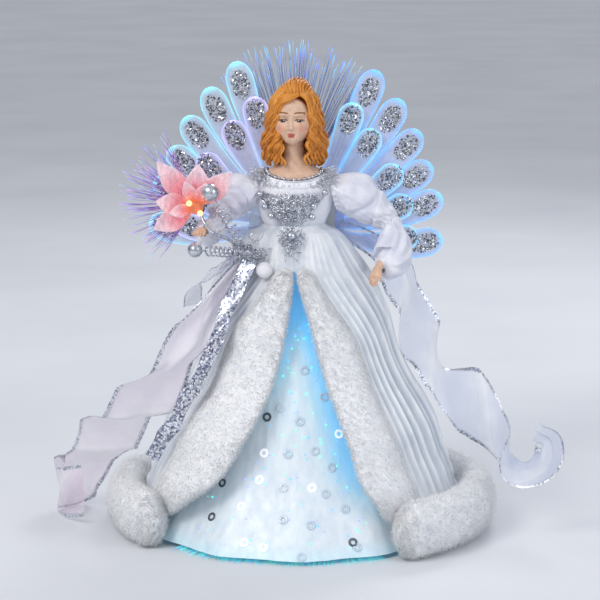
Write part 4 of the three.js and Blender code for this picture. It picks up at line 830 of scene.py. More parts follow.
def light_points():
    shapes, tints = [], []
    for _ in range(POINT_COUNT):
        z = RANDOM.uniform(8, 150)
        x = under_radius(0.0, z) * np.sin(RANDOM.uniform(-0.95 * fur_inner(-1, z), 0.95 * fur_inner(1, z)))
        at, _, _ = skirt_spot(x, z, 0.5)
        shapes.append(ball(at, RANDOM.uniform(0.35, 0.62), 8, 6))
        tints.append(np.tile(srgb(*POINT_COLOURS[RANDOM.integers(4)]), (len(shapes[-1][0]), 1)))
    tints = np.concatenate(tints)
    piece = make("skirt_light_points", join(shapes), FIBRE, tint=tints)
    paint(piece, "edge", tints)


# Overskirt: soft uneven folds that run from the waist to the hem, open in front below the waist
PLEATS = 46
PLEAT_DEPTH = 2.6
PLEAT_COLUMNS = 17
SKIRT_ROWS = 120
HEM_FLARE = 4
HEM_FLARE_RISE = 24
UNDER_FUR = 4
WAIST_SEAM = 5
FOLD_SHADE = srgb(176, 188, 202)
RIDGE_WHITE = srgb(250, 251, 253)


def sew_to_waist(points, z):
    """Draws the top rows in to the bodice"""
    half = curve(BODY_LINE, GOWN_TOP)
    turn = np.arctan2(points[..., 1] / half[1], (points[..., 0] - BODY_X) / half[0])
    sewn = smooth(z, GOWN_TOP - WAIST_SEAM, GOWN_TOP)[..., None]
    return mix(points, body_at(turn, z + 0 * turn, BODICE_OUT + 0.5), sewn)


def overskirt():
    rise = 1 - (1 - np.linspace(0, 1, SKIRT_ROWS)) ** 1.25
    z = mix(GOWN_END, GOWN_TOP, rise)[:, None]
    u = np.linspace(0, 1, PLEATS * PLEAT_COLUMNS)[None, :]
    flare = (1 - smooth(z, GOWN_END, GOWN_END + HEM_FLARE_RISE)) ** 2
    radius = curve(GOWN_LINE, z)[..., 0] + HEM_FLARE * flare
    closing = 1 - smooth(z, FUR_TOP - 7, FUR_TOP - 1)
    first = edge_angle(1, z) + fur_angle(z) - UNDER_FUR / radius
    last = TAU - edge_angle(-1, z) - fur_angle(z) + UNDER_FUR / radius
    angle = mix(first * closing, TAU - (TAU - last) * closing, u)
    run = (angle - first) / (last - first)
    ends = np.sqrt(np.sin(math.pi * np.clip(rise[:, None], 0.05, 0.96)))
    depth = PLEAT_DEPTH * ends * np.clip(radius / 80, 0.3, 1) * (0.65 + 0.5 * ripple(run * 70, z / 200, 13))
    sway = 1.9 * ripple(run * 18, z / 700, 11) + 0.2 * ripple(run * 50, z / 120, 12)
    ridge = 1 - np.abs(np.sin(math.pi * (run * PLEATS + sway))) ** 0.9
    swell = ripple(run * 60, z / 400, 15)
    gathers = (1 - smooth(z, 40, 74)) * smooth(-np.cos(angle), -0.3, 0.2)
    swag = gathers * np.sin(z * 0.5 + 5 * ripple(run * 34, z / 40, 4))
    fold = depth * (1.5 * ridge - 0.75) * (1 - 0.6 * gathers) + 1.8 * ends * swell + 1.2 * swag
    points = sew_to_waist(around(angle, radius + fold, z, back_room(z) + 0.4 * fold), z)
    clear = mix(1, 0.5, smooth(z, 150, 195)) * (1 - 0.7 * gathers) * depth / PLEAT_DEPTH * 1.4
    shade = 0.72 + clear * (1.1 * ridge - 0.5) + 0.3 * swell + 0.22 * swag
    shade = np.clip(shade + 0.1 * ripple(run * 90, z / 25, 14), 0, 1)[..., None]
    piece = make("overskirt_crinkle", grid(points), CRINKLE, "overskirt",
                 tint=mix(FOLD_SHADE, RIDGE_WHITE, shade).reshape(-1, 3))


# Fur: a plump lumpy body covered with short fine hairs
HAIR_ROOT = 0.2
FUR_LENGTH = 3.4
LUMP = 0.8
FUR_HEM_OUT, FUR_HEM_UP = 11.2, 18.2
FUR_HEM_CIRCLE = 121.5
FUR_HEM_RISE = 19.4
FRONT_LOW = 22


def fur(name, surface, rows, columns, count, length):
    """surface(u, v) gives places on the body, with v running round its section"""
    u, v = np.meshgrid(np.linspace(0, 1, rows), np.arange(columns) / columns, indexing="ij")
    piece = make(f"{name}_body", capped(surface(u, v)), PLUSH, name)
    u, v = RANDOM.uniform(0.0005, 0.9995, count), RANDOM.uniform(0, 1, count)
    ends = RANDOM.uniform(0, 1, count) < 0.05
    u = np.where(ends, np.where(u < 0.5, u * 0.03, 1 - (1 - u) * 0.03), u)
    at = surface(u, v)
    small = 0.002
    step = np.where(u < 0.5, small, -small)
    along = (surface(u + step, v) - at) * np.sign(step)[:, None]
    facing = unit(np.cross(surface(u, v + small) - at, along))
    facing = facing * np.sign(np.sum(facing * (at - surface(u, v + 0.5)), -1, keepdims=True))
    clump = np.stack([ripple(at[:, 0] / 2.2, at[:, 2] / 2.2 + at[:, 1] / 2.6, k) for k in (21, 22, 23)], -1)
    way = unit(facing + 0.45 * clump + RANDOM.normal(0, 0.3, at.shape))
    tip = at + way * length * RANDOM.uniform(0.5, 1.1, count)[:, None]
    tip[:, 2] = np.maximum(tip[:, 2], 0.3)
    hairs = make(f"{name}_hair", spikes(at - facing * 0.4, tip, HAIR_ROOT), FUR)
    hairs.parent = piece


def rounded(u, share):
    """From 0 at both ends of a run to 1 past a share of it, round as a dome"""
    near = np.clip(np.minimum(u, 1 - u) / share, 0.004, 1)
    return np.sqrt(1 - (1 - near) ** 2)


def lumps(along, v, girth, seed):
    """Soft clumps in plush, from the place along it and the share of its girth"""
    across = np.abs((v % 1) - 0.5) * girth
    large, fine = ripple(along / 3.4, across / 3.4, seed), ripple(along / 1.5, across / 1.5, seed + 1)
    return LUMP * (0.7 * large + 0.5 * fine)


def hem_surface(u, v):
    angle = mix(math.radians(OPENING[1]) - 0.02, TAU - math.radians(OPENING[-1]) + 0.02, u)
    turn = v * TAU
    grow = lumps(angle * FUR_HEM_CIRCLE, v, 92, 31)
    dome = rounded(u, 0.022)
    z = FUR_HEM_RISE + (FUR_HEM_UP + grow) * dome * np.sin(turn)
    return around(angle, FUR_HEM_CIRCLE + (FUR_HEM_OUT + grow) * dome * np.cos(turn), np.maximum(z, 0.6))


def front_surface(side):
    def surface(u, v):
        z = mix(FRONT_LOW, FUR_TOP - 1, u)
        dome = rounded(u, 0.03)
        grow = lumps(u * 170, v, 60, 33)
        radius = curve(GOWN_LINE, z)[..., 0]
        inner = np.minimum(fur_inner(side, z), edge_angle(side, z))
        outer = edge_angle(side, z) + 0.95 * fur_angle(z)
        width = ((outer - inner) / 2 + grow / radius * 0.6) * dome
        swell = smooth(open_share(z), 0, 0.25)
        half = (mix(2.6, 4.4, swell) + grow) * dome
        middle = radius + mix(4.3, 3.2, swell)
        angle = side * ((inner + outer) / 2 + np.cos(v * TAU) * width)
        return around(angle, middle + np.sin(v * TAU) * half, z)
    return surface


def furs():
    fur("fur_hem", hem_surface, 620, 72, 48000, 1.4 * FUR_LENGTH)
    fur("fur_front_left", front_surface(1), 260, 56, 20000, FUR_LENGTH)
    fur("fur_front_right", front_surface(-1), 260, 64, 26000, FUR_LENGTH)


# Sleeves and cuffs: each station is a place on the arm and the cloth's radius there
ARMS = {
    "left": {
        "body": "left_arm",
        "puff": [(22.6, -0.3, 231.5, 11.5), (34, -2, 234, 15.5), (50, -5, 224, 12.5), (60, -8, 213, 7)],
        "cuff": [(60.1, -8.1, 212.9, 6.9), (61.4, -9, 211.2, 7.4), (62.8, -14, 204, 10.8),
                 (61.8, -20, 194.5, 13.6), (59.4, -25.5, 189.5, 12), (56.6, -28, 189.2, 8.6),
                 (54.6, -30.1, 188.7, 4.6), (53.4, -31.4, 188, 2.6)],
        "hem": 0.2,
        "hand": (51.2, -33.9, 184.2),
        "wrist": (58, -26.5, 190.5),
        "reach": (-0.42, -0.5, -0.75),
        "side": 1,
    },
    "right": {
        "body": "figure",
        "puff": [(-32.6, -0.3, 231.5, 11), (-43, -3, 234, 14.5), (-52, -8, 226, 11.5), (-56, -13, 217, 6.5)],
        "cuff": [(-56.1, -13.2, 216.8, 6.4), (-57, -14.6, 214.9, 6.8), (-59, -20, 212.6, 7.5),
                 (-62, -26, 211, 8.5), (-64.8, -31.5, 210.5, 9.4), (-65.5, -34.2, 210.8, 6.6),
                 (-65.9, -35.8, 211.1, 3.2)],
        "hem": 0.4,
        "hand": (-66.5, -39, 211.5),
        "wrist": (-64, -28, 210.2),
        "reach": (-0.2, -0.97, 0.14),
        "side": -1,
    },
}
PUFF_ROWS, PUFF_COLUMNS = 70, 96
CUFF_ROWS, CUFF_COLUMNS = 60, 110
HELD_ROWS, HEM_ROWS = 4, 3
CLOTH_SCALE = 10
CLOTH_FRAMES = 18


def limb(stations, rows, columns, fold):
    """Rings of cloth round an arm; fold(t, angle) adds to the radius"""
    line = spline(stations, rows)
    path, radius = line[:, :3], line[:, 3]
    tangent, _, _ = frames(path)
    across = unit(np.cross(tangent, (0, -0.3, 1)))
    up = np.cross(across, tangent)
    angle = turns(columns)
    r = radius[:, None] + fold(np.linspace(0, 1, rows)[:, None], angle[None, :])
    return path[:, None] + r[..., None] * spin(angle, across[:, None], up[:, None])


def puff_fold(t, angle):
    ends = np.exp(-t / 0.16) + np.exp(-(1 - t) / 0.2)
    middle = np.sin(math.pi * t)
    gathers = 0.75 * ends * np.sin(15 * angle + 2 * np.sin(3 * angle))
    swags = 0.6 * middle * np.sin(7 * t * math.pi + 1.6 * np.cos(angle - 0.6) + np.sin(2 * angle))
    crease = np.exp(-((t - 0.4 - 0.2 * np.cos(angle - 0.8)) / 0.045) ** 2)
    crease = crease + 0.8 * np.exp(-((t - 0.68 - 0.14 * np.cos(angle + 0.6)) / 0.04) ** 2)
    return gathers + swags - 1.3 * crease + 0.5 * ripple(t * 6, angle * 2, 17) * middle


def cuff_fold(t, angle):
    middle = np.sin(math.pi * t)
    ruffle = 0.9 * middle * np.sin(9 * angle + 1.5 * np.sin(2 * angle + 2 * t))
    gather = 0.7 * np.exp(-t / 0.15) * np.sin(16 * angle)
    return ruffle + gather + 0.7 * middle * ripple(t * 7, angle * 2, 19)


def settle(piece, rows, columns, end_rows, grow, pressure, cap):
    """Lets satin with some spare cloth settle under its own air and weight; its end rows stay in place"""
    first = np.array([point.co for point in piece.data.vertices])
    work = piece.data.copy()
    for point in work.vertices:
        point.co *= CLOTH_SCALE
    cloth = bpy.data.objects.new("settling", work)
    bpy.context.scene.collection.objects.link(cloth)
    row = np.arange(rows * columns) // columns
    held = np.flatnonzero((row < HELD_ROWS) | (row >= rows - end_rows)).tolist()
    cloth.vertex_groups.new(name="held").add(held, 1, "REPLACE")
    settings = cloth.modifiers.new("cloth", "CLOTH").settings
    settings.quality = 6
    settings.mass = 0.2
    settings.tension_stiffness = settings.compression_stiffness = 15
    settings.bending_stiffness = 0.2
    settings.vertex_group_mass = "held"
    settings.shrink_min = -grow
    settings.use_pressure = True
    settings.uniform_pressure_force = pressure
    settings.effector_weights.gravity = 0.3
    for step in range(1, CLOTH_FRAMES + 1):
        bpy.context.scene.frame_set(step)
    settled = cloth.evaluated_get(bpy.context.evaluated_depsgraph_get()).to_mesh()
    moved = np.array([point.co for point in settled.vertices]) / CLOTH_SCALE - first
    far = np.linalg.norm(moved, axis=1, keepdims=True)
    moved *= cap * MM * np.tanh(far / (cap * MM)) / np.maximum(far, 1e-9)
    piece.data.vertices.foreach_set("co", (first + moved).ravel())
    piece.data.update()
    bpy.data.objects.remove(cloth)
    bpy.data.meshes.remove(work)
    bpy.context.scene.frame_set(1)


def sleeves():
    for name, arm in ARMS.items():
        points = limb(arm["puff"], PUFF_ROWS, PUFF_COLUMNS, puff_fold)
        piece = make(f"{name}_puff_satin", capped(points), SLEEVE, f"{name}_puff_sleeve", arm["body"])
        settle(piece, PUFF_ROWS, PUFF_COLUMNS, HELD_ROWS, 0.16, 0.8, 2.5)
        points = limb(arm["cuff"], CUFF_ROWS, CUFF_COLUMNS, cuff_fold)
        scallop = np.sin(7 * np.arange(CUFF_COLUMNS) * TAU / CUFF_COLUMNS)[:, None]
        hem = arm["hem"] * scallop * unit(points[-1] - points[-2])
        for row, share in ((-1, 1), (-2, 0.7), (-3, 0.4)):
            points[row] += hem * share
        piece = make(f"{name}_cuff_satin", grid(points, True), SLEEVE,
                     f"{name}_bell_cuff", arm["body"])
        settle(piece, CUFF_ROWS, CUFF_COLUMNS, HEM_ROWS, 0.1, 0.5, 1.8)


# Hands: a palm, four fingers bent at one joint and a thumb
SKIN_PALE = srgb(240, 204, 176)
SKIN_DEEP = srgb(216, 160, 128)
HAND_REACH = 15
HAND_STEP = 0.4


def hand_field(arm):
    middle = np.array(arm["hand"], float)
    reach = unit(np.array(arm["reach"]))
    across = unit(np.cross(reach, (0, 0, 1)))
    up = np.cross(across, reach)

    def at(along, side, lift):
        return middle + reach * along + across * side * arm["side"] + up * lift

    def field(x, y, z):
        clay = Clay(x, y, z, capsule(x, y, z, at(-6, 0, 0), at(1, 0, 0), 2.4, 3))
        clay.rod(at(-6, 0, 0), arm["wrist"], 2.4, 2.4, 1)
        clay.rod(at(0.5, -1.3, 0.2), at(4.8, -1.6, 0), 2.2, 1.7, 1.2)
        clay.rod(at(0.5, 1.2, 0.2), at(4.6, 1.7, 0), 2.2, 1.6, 1.2)
        for i in range(4):
            side = mix(-2.5, 2.5, i / 3)
            long = 1 - 0.09 * abs(i - 1.2)
            joint = at(8 * long, side * 1.15, -0.6)
            clay.rod(at(4.6, side, 0.1), joint, 1.15, 1, 0.35)
            clay.rod(joint, at(11 * long, side * 1.15, -2.9), 0.98, 0.72, 0.25)
        thumb = at(3.8, -4.5, -0.6)
        clay.rod(at(0.6, -2, 0), thumb, 1.5, 1.15, 0.6)
        clay.rod(thumb, at(6.8, -5, -1.8), 1.1, 0.8, 0.3)
        return clay.distance
    return field, middle


def hands():
    for name, arm in ARMS.items():
        field, middle = hand_field(arm)
        points, faces = nets(field, middle - HAND_REACH, middle + HAND_REACH, HAND_STEP)
        # Painted shade: the skin is darkened a little in its creases, and at random
        crease = smooth(field(*points.T) + 0.4 * ripple(points[:, 0], points[:, 2], 5), -0.3, 0.6)
        tint = mix(SKIN_PALE, SKIN_DEEP, 0.35 * crease[:, None] + 0.15)
        make(f"{name}_hand_skin", (points, faces), SKIN, f"{name}_hand", arm["body"], tint)


# Head: places are from the middle of the head, turned a little to the figure's right
HEAD = np.array([-5.5, -3, 284])
FACE_TURN = math.radians(6)
EYE_X, EYE_Z = 5.6, -0.2
BROW_Z = 4.3
MOUTH_Z = -10.2
HEAD_LOW, HEAD_HIGH = (-32, -24, 237), (22, 19, 308)
HEAD_STEP = 0.55
BUST_BOTTOM, BUST_TOP = 238.3, 264
LIP_RED = srgb(204, 100, 90)
CHEEK_ROSE = srgb(236, 156, 132)
EYE_WHITE = srgb(200, 180, 168)
EYE_BROWN = srgb(72, 42, 28)
BROW_BROWN = srgb(142, 92, 54)


def face_frame(x, y, z):
    x, y, z = x - HEAD[0], y - HEAD[1], z - HEAD[2]
    cos, sin = math.cos(FACE_TURN), math.sin(FACE_TURN)
    return x * cos - y * sin, x * sin + y * cos, z


def head_field(px, py, pz):
    x, y, z = face_frame(px, py, pz)
    # Skull, jaw and chin
    clay = Clay(x, y, z, egg_field(x, y, z, (0, 1.4, 3.8), (13.8, 16, 16.8)))
    clay.egg((0, -4.2, -6.2), (10.6, 10.6, 10.4), 6)
    clay.egg((0, -11, -13.6), (3.4, 3.2, 2.8), 4)
    # Cheek, eye socket, eyeball, brow and nostril on each side
    for side in (-1, 1):
        clay.egg((side * 6.4, -9.6, -5), (4.2, 4, 4), 4)
        clay.hollow((side * EYE_X, -16.6, EYE_Z + 0.4), (3.7, 3, 2.4), 2.4)
        clay.egg((side * EYE_X, -11.9, EYE_Z), (3.4, 2.5, 2.1), 0.5)
        clay.rod((side * 2.6, -14.8, BROW_Z - 0.6), (side * 8, -12.6, BROW_Z - 0.2), 1, 0.8, 2.4)
        clay.egg((side * 1.3, -15.4, -5.6), (1, 1.2, 0.9), 0.8)
    # Nose and lips
    clay.rod((0, -14.6, 1.5), (0, -16.5, -5), 0.8, 1.3, 1.6)
    clay.rod((-2.3, -13.2, MOUTH_Z + 0.7), (2.3, -13.2, MOUTH_Z + 0.7), 0.7, 0.7, 0.9)
    clay.rod((-1.8, -13.1, MOUTH_Z - 0.8), (1.8, -13.1, MOUTH_Z - 0.8), 0.85, 0.85, 0.8)
    # Neck and bust, which do not turn with the face
    clay.add(capsule(px, py, pz, (-5.5, -0.6, 276), (-5.2, 0, 248), 6.9, 6.8), 3)
    half = curve(BODY_LINE, np.clip(pz, 236, 268))
    around_body = np.sqrt(((px - BODY_X) / half[..., 0]) ** 2 + (py / half[..., 1]) ** 2)
    ends = np.maximum(BUST_BOTTOM - pz, pz - BUST_TOP)
    clay.add(np.maximum((around_body - 1) * half[..., 1] * 0.85, ends), 1.5)
    return clay.distance


def face_paint(points):
    """Skin with rosy cheeks, eyes, lashes, brows and lips, painted shade over the upper lids, a painted
    highlight in each eye, and a dark scalp under the hair in the hair's painted shade colour
    """
    x, y, z = face_frame(*points.T)
    side = np.abs(x)
    tint = mix(SKIN_PALE, SKIN_DEEP, 0.12 + 0.06 * ripple(x / 3, z / 3, 7)[:, None])
    front = y < -6

    def lay(colour, share):
        nonlocal tint
        tint = mix(tint, colour, (np.clip(share, 0, 1) * front)[:, None])

    lay(CHEEK_ROSE, 0.75 * np.exp(-((side - 7.4) / 3.4) ** 2 - ((z + 5.4) / 3) ** 2))
    # Painted shade over each upper lid
    lay(SKIN_DEEP, 0.5 * np.exp(-((side - EYE_X) / 3.6) ** 2 - ((z - EYE_Z - 1.6) / 1.3) ** 2))
    lid = ((side - EYE_X) / 2.8) ** 2 + ((z - EYE_Z + 0.2) / 1.05) ** 2
    lay(EYE_WHITE, smooth(lid, 1.05, 0.85))
    iris = np.hypot(side - EYE_X + 0.1 * np.sign(x), z - EYE_Z + 0.1)
    lay(EYE_BROWN, smooth(iris, 1.85, 1.5) * (lid < 1.05))
    # A small painted highlight in each eye
    lay(np.ones(3), smooth(np.hypot(side - EYE_X + 0.5, z - EYE_Z - 0.4), 0.4, 0.22))
    lash = (np.abs(np.sqrt(lid) - 1.06) < 0.22) & (z > EYE_Z + 0.2)
    lay(EYE_BROWN * 0.5, lash)
    brow = BROW_Z + 0.9 - 0.045 * (side - 5.6) ** 2
    lay(BROW_BROWN, smooth(np.abs(z - brow), 0.62, 0.35) * (side > 2.1) * (side < 9.2))
    corner = 0.054 * side**2
    upper = ((z - MOUTH_Z - 0.55 - corner * 0.4) / 0.95) ** 2 + (x / 2.9) ** 2
    lower = ((z - MOUTH_Z + 0.8 - corner * 0.4) / 1.05) ** 2 + (x / 2.4) ** 2
    lay(LIP_RED, smooth(np.minimum(upper, lower), 1.05, 0.8))
    lay(LIP_RED * 0.45, 0.8 * smooth(np.abs(z - MOUTH_Z + 0.1 - corner), 0.34, 0.18) * (side < 2.6))
    hairline = np.hypot(x / 12.6, (z + 1.5) / 15.5) + 0.6 * smooth(y, -7, -3)
    scalp = smooth(hairline, 0.98, 1.08) * smooth(z, -13, -8)
    return mix(tint, HAIR_SHADE, scalp[:, None])


def head():
    points, faces = nets(head_field, HEAD_LOW, HEAD_HIGH, HEAD_STEP)
    make("head_skin", (points, faces), SKIN, "head_bust", tint=face_paint(points))


# Hair: wavy locks that part over the forehead, frame the face and fall to the chest, under a raised crown
HAIR_LINE = [(250, 16, 9), (254, 20, 11), (259, 22, 14), (266, 22, 16), (278, 19.4, 18), (290, 17.6, 18.6),
             (298, 15.4, 16.6), (304, 10, 12), (309.5, 3, 4)]
HAIR_X, HAIR_Y = -4.7, 1
HAIR_TOP, HAIR_END = 308.5, 253
# The hair's colour, then the colours of its painted highlight and its painted shade
HAIR_GOLD = srgb(246, 158, 50)
HAIR_HIGHLIGHT = srgb(255, 194, 98)
HAIR_SHADE = srgb(140, 62, 12)
WAVE_LENGTH = 14
FACE_HALF = 12.4
FACE_CLEAR = 0.62
LOCK_LAYERS = [(34, 2.4, 2.2), (38, 0.9, 1.8)]
LOCK_SIDES = 8
PARTING = np.array([-1.2, -14.2, 301.2])
FRINGE = {-1: np.array([(-6.5, -16.4, 298.6), (-14.2, -14.6, 294.2)]),
          1: np.array([(2.2, -15.4, 299.4), (5.2, -14.2, 293.2)])}
FRINGE_STEPS = 52
DOME = np.array([-3.2, 0.5, 298.5])
DOME_HALF = (10.4, 13.5, 12)


def lock_path(turn, phase, inset, low):
    """A lock that falls from the crown; turn runs from +X, and the face's window is kept clear"""
    z = np.linspace(HAIR_TOP, low, 40)
    half = curve(HAIR_LINE, z)
    fall = (HAIR_TOP - z) / (HAIR_TOP - low)
    wave = TAU * (308 - z) / WAVE_LENGTH + phase
    away = (turn + math.pi / 2 + math.pi) % TAU - math.pi
    need = np.arcsin(np.clip(FACE_HALF / half[:, 0], 0, 0.96))
    kept = np.sign(away) * np.maximum(np.abs(away), need * smooth(z, 304, 298))
    angle = kept - math.pi / 2 + 0.1 * np.sin(wave) * smooth(fall, 0.1, 0.4) * np.sign(away)
    swell = 1.5 * np.cos(wave) * smooth(fall, 0.2, 0.5) - inset
    x = HAIR_X + (half[:, 0] + swell) * np.cos(angle)
    return np.column_stack([x, HAIR_Y + (half[:, 1] + swell) * np.sin(angle), z])


def fringe_path(side, k):
    """A lock that starts at the parting, sweeps over the temple and falls beside the cheek"""
    back, wide = 1.6 * k, 0.95 * k
    sweep = FRINGE[side] + np.outer((1, 1.1), (side * 0.4 * wide, back, 0.9 * k))
    line = spline([PARTING + (side * 0.4, 0.9 * back, 0.55 * k), *sweep,
                   (HAIR_X + side * (11.6 + wide), -13 + back, 284),
                   (HAIR_X + side * (10.8 + 1.1 * wide), -12.6 + back, 272),
                   (HAIR_X + side * (9 + 1.5 * wide), -12.4 + back, 262),
                   (HAIR_X + side * (7.6 + 1.9 * wide), -12.2 + back, HAIR_END + 0.5 * k)], FRINGE_STEPS)
    t = np.linspace(0, 1, FRINGE_STEPS)
    wave = TAU * t * 5 + 0.9 * k + side
    line[:, 0] += side * 1.4 * np.sin(wave) * smooth(t, 0.35, 0.6)
    line[:, 1] -= 1.1 * np.cos(wave) * smooth(t, 0.35, 0.6)
    return line


def dome_path(k):
    """A lock that runs over the raised crown from front to back; k goes from -1 to 1 across it"""
    t = np.linspace(0.06, 0.97, 40) * math.pi
    tilt = k * math.pi / 2 * 0.93
    x = DOME[0] + DOME_HALF[0] * math.sin(tilt) * (0.72 + 0.28 * np.sin(t)) + 0.5 * np.sin(5 * t + 3 * k)
    y = DOME[1] - DOME_HALF[1] * (0.75 + 0.25 * math.cos(tilt)) * np.cos(t)
    return np.column_stack([x, y, DOME[2] + DOME_HALF[2] * math.cos(tilt) * np.sin(t) ** 0.8])


def hair():
    shapes, tints = [], []

    def add(path, width, bright):
        """Three strands twined round a path, with painted light and shade on each"""
        t = np.linspace(0, 1, len(path))
        taper = 0.4 + 0.6 * np.sin(math.pi * np.clip(t * 0.9 + 0.1, 0, 1)) ** 0.6
        _, normal, other = frames(path)
        for strand in range(3):
            offset = 0.5 * width * taper[:, None] * spin(strand * TAU / 3 + 5 * t, normal, other)
            shape = tube(path + offset, 0.62 * width * taper, LOCK_SIDES, 0.8)
            corner = np.arange(len(shape[0])) % LOCK_SIDES
            # Painted light and shade: each strand is lighter on one side and darker on the other, with a
            # painted highlight where it is lightest
            lit = 0.5 + 0.5 * np.cos(corner * TAU / LOCK_SIDES + strand)
            share = np.clip(bright * (0.4 + 0.6 * lit) + RANDOM.uniform(-0.15, 0.15), 0, 1)[:, None]
            shapes.append(shape)
            tints.append(mix(mix(HAIR_SHADE, HAIR_GOLD, np.sqrt(share)), HAIR_HIGHLIGHT, 0.5 * share**3))

    for layer, (count, inset, width) in enumerate(LOCK_LAYERS):
        for i in range(count):
            away = (i + 0.5 + 0.5 * layer) * TAU / count
            if min(away, TAU - away) > FACE_CLEAR:
                low = HAIR_END + RANDOM.uniform(-2, 5)
                path = lock_path(away - math.pi / 2, 1.3 * math.sin(2.3 * i) + layer, inset, low)
                # The inner layer of locks is painted darker, as painted shade
                add(path, width, 0.75 + 0.2 * layer)
    for side in (-1, 1):
        for k in range(6):
            add(fringe_path(side, k), 1.75, 0.95)
    for k in np.linspace(-1, 1, 13):
        add(dome_path(k), 1.6, 0.95)
    make("hair_locks", join(shapes), HAIR, "hair", tint=np.concatenate(tints))


# Wings: each feather's tip, outward and up, and the slope of its blade there in degrees
REAR_FEATHERS = [(58, 99, 69), (75, 78.5, 62), (88.5, 56, 51), (97, 32.5, 38), (104.5, 10.3, 31),
                 (105, -19.5, 18)]
FRONT_FEATHERS = [(41.5, 77, 72), (56, 58, 60), (73, 32, 49), (81, 9, 36), (85.5, -15, 24)]
FEATHER_WIDTH = 20
FEATHER_LINE = [(0, 0.25), (0.45, 0.7), (0.78, 1), (1, 0.98)]
FEATHER_ROUND = 0.86
FEATHER_COLUMNS = 23
WING_X, WING_Z = -3, 214
WING_EDGE = 11
WING_FRONT_Y, WING_REAR_Y = 24.7, 29.6
WING_LAYERS = [("front", FRONT_FEATHERS, 0.92, WING_FRONT_Y), ("rear", REAR_FEATHERS, 1, WING_REAR_Y)]
WING_SWEEP, WING_ROLL = math.radians(11), math.radians(7)
ROOT_DEEP = 1.6
ROOT_FACES = [[0, 1, 3, 2], [4, 6, 7, 5], [0, 4, 5, 1], [2, 3, 7, 6], [0, 2, 6, 4], [1, 5, 7, 3]]
LAP = 0.5
PATCH_AT = 0.83
PATCH_HALF = (10.5, 6.5)
FLAKES = 300
FLAKE_LIFT = 1.85
FLAKE_COOL = np.array([0.92, 0.95, 1.0])
RIBS = 5
BLADE_WHITE = srgb(246, 247, 255)
# Painted light caught in the feather rims of each layer, from root to tip
RIMS = {
    "left_front": (srgb(70, 160, 255), srgb(110, 220, 255)),
    "left_rear": (srgb(80, 150, 255), srgb(70, 180, 255)),
    "right_front": (srgb(150, 210, 236), srgb(198, 184, 250)),
    "right_rear": (srgb(160, 190, 240), srgb(110, 214, 224)),
}


def feather_axis(feather, order, count):
    tip = np.array(feather[:2], float)
    root = np.array([15 + 2 * order, mix(12, -12, order / (count - 1))])
    rise = math.radians(feather[2])
    bend = tip - np.array([math.cos(rise), math.sin(rise)]) * 0.5 * np.linalg.norm(tip - root)
    return root, bend, tip


def on_axis(axis, t):
    """Places along a feather's middle line, and the directions across it"""
    t = np.asarray(t)[..., None]
    root, bend, tip = axis
    way = unit(2 * (1 - t) * (bend - root) + 2 * t * (tip - bend))
    return bezier(root, bend, tip, t), np.stack([-way[..., 1], way[..., 0]], -1)


def hang_wing(points, side, depth):
    """From the flat of a wing, (outward, depth, up), to its place on the figure's back"""
    out = side * (points[..., 0] - WING_EDGE)
    deep = points[..., 1] + depth - WING_FRONT_Y + ROOT_DEEP
    z = points[..., 2]
    cos, sin = math.cos(side * WING_SWEEP), math.sin(side * WING_SWEEP)
    x = out * cos - deep * sin + side * WING_EDGE
    y = out * sin + deep * cos + WING_FRONT_Y - ROOT_DEEP
    if side < 0:
        cos, sin = math.cos(WING_ROLL), math.sin(WING_ROLL)
        x, z = x * cos + z * sin, -x * sin + z * cos
    return np.stack([x + WING_X, y, z + WING_Z], -1)


def feather(axis, scale, lap, side, depth):
    """One curved blade with fine ribs, how near each point is to its rim and how far along it"""
    tip = np.sin(np.linspace(0, math.pi / 2, 14))
    t = np.concatenate([np.linspace(0, FEATHER_ROUND, 32, endpoint=False), mix(FEATHER_ROUND, 1, tip)])
    v = np.linspace(-1, 1, FEATHER_COLUMNS)
    at, across = on_axis(axis, t)
    dome = np.sqrt(1 - 0.98 * np.clip((t - FEATHER_ROUND) / (1 - FEATHER_ROUND), 0, 1) ** 2)
    half = FEATHER_WIDTH / 2 * scale * curve(FEATHER_LINE, t)[:, 0] * dome
    flat = at[:, None] + across[:, None] * (half[:, None] * v)[..., None]
    rim = np.sqrt(np.clip(1 - v**4, 0, 1))[None, :] * smooth(1.02 - t, 0, 0.06)[:, None]
    rib = 0.16 * np.cos(v * RIBS * math.pi)[None, :] * rim
    skins = []
    for sign, ribs in ((-1, rib), (1, 0)):
        y = sign * (0.25 + 0.5 * rim) + ribs - 0.8 + lap
        skins.append(np.stack([flat[..., 0], y, flat[..., 1]], -1))
    shape = capped(hang_wing(np.concatenate([skins[0], skins[1][:, ::-1]], 1), side, depth))
    edge = np.maximum(np.abs(v)[None, :] ** 6, smooth(t, 0.93, 1)[:, None])
    edge = np.concatenate([edge, edge[:, ::-1]], 1)
    return shape, edge.ravel(), np.repeat(t, 2 * FEATHER_COLUMNS)


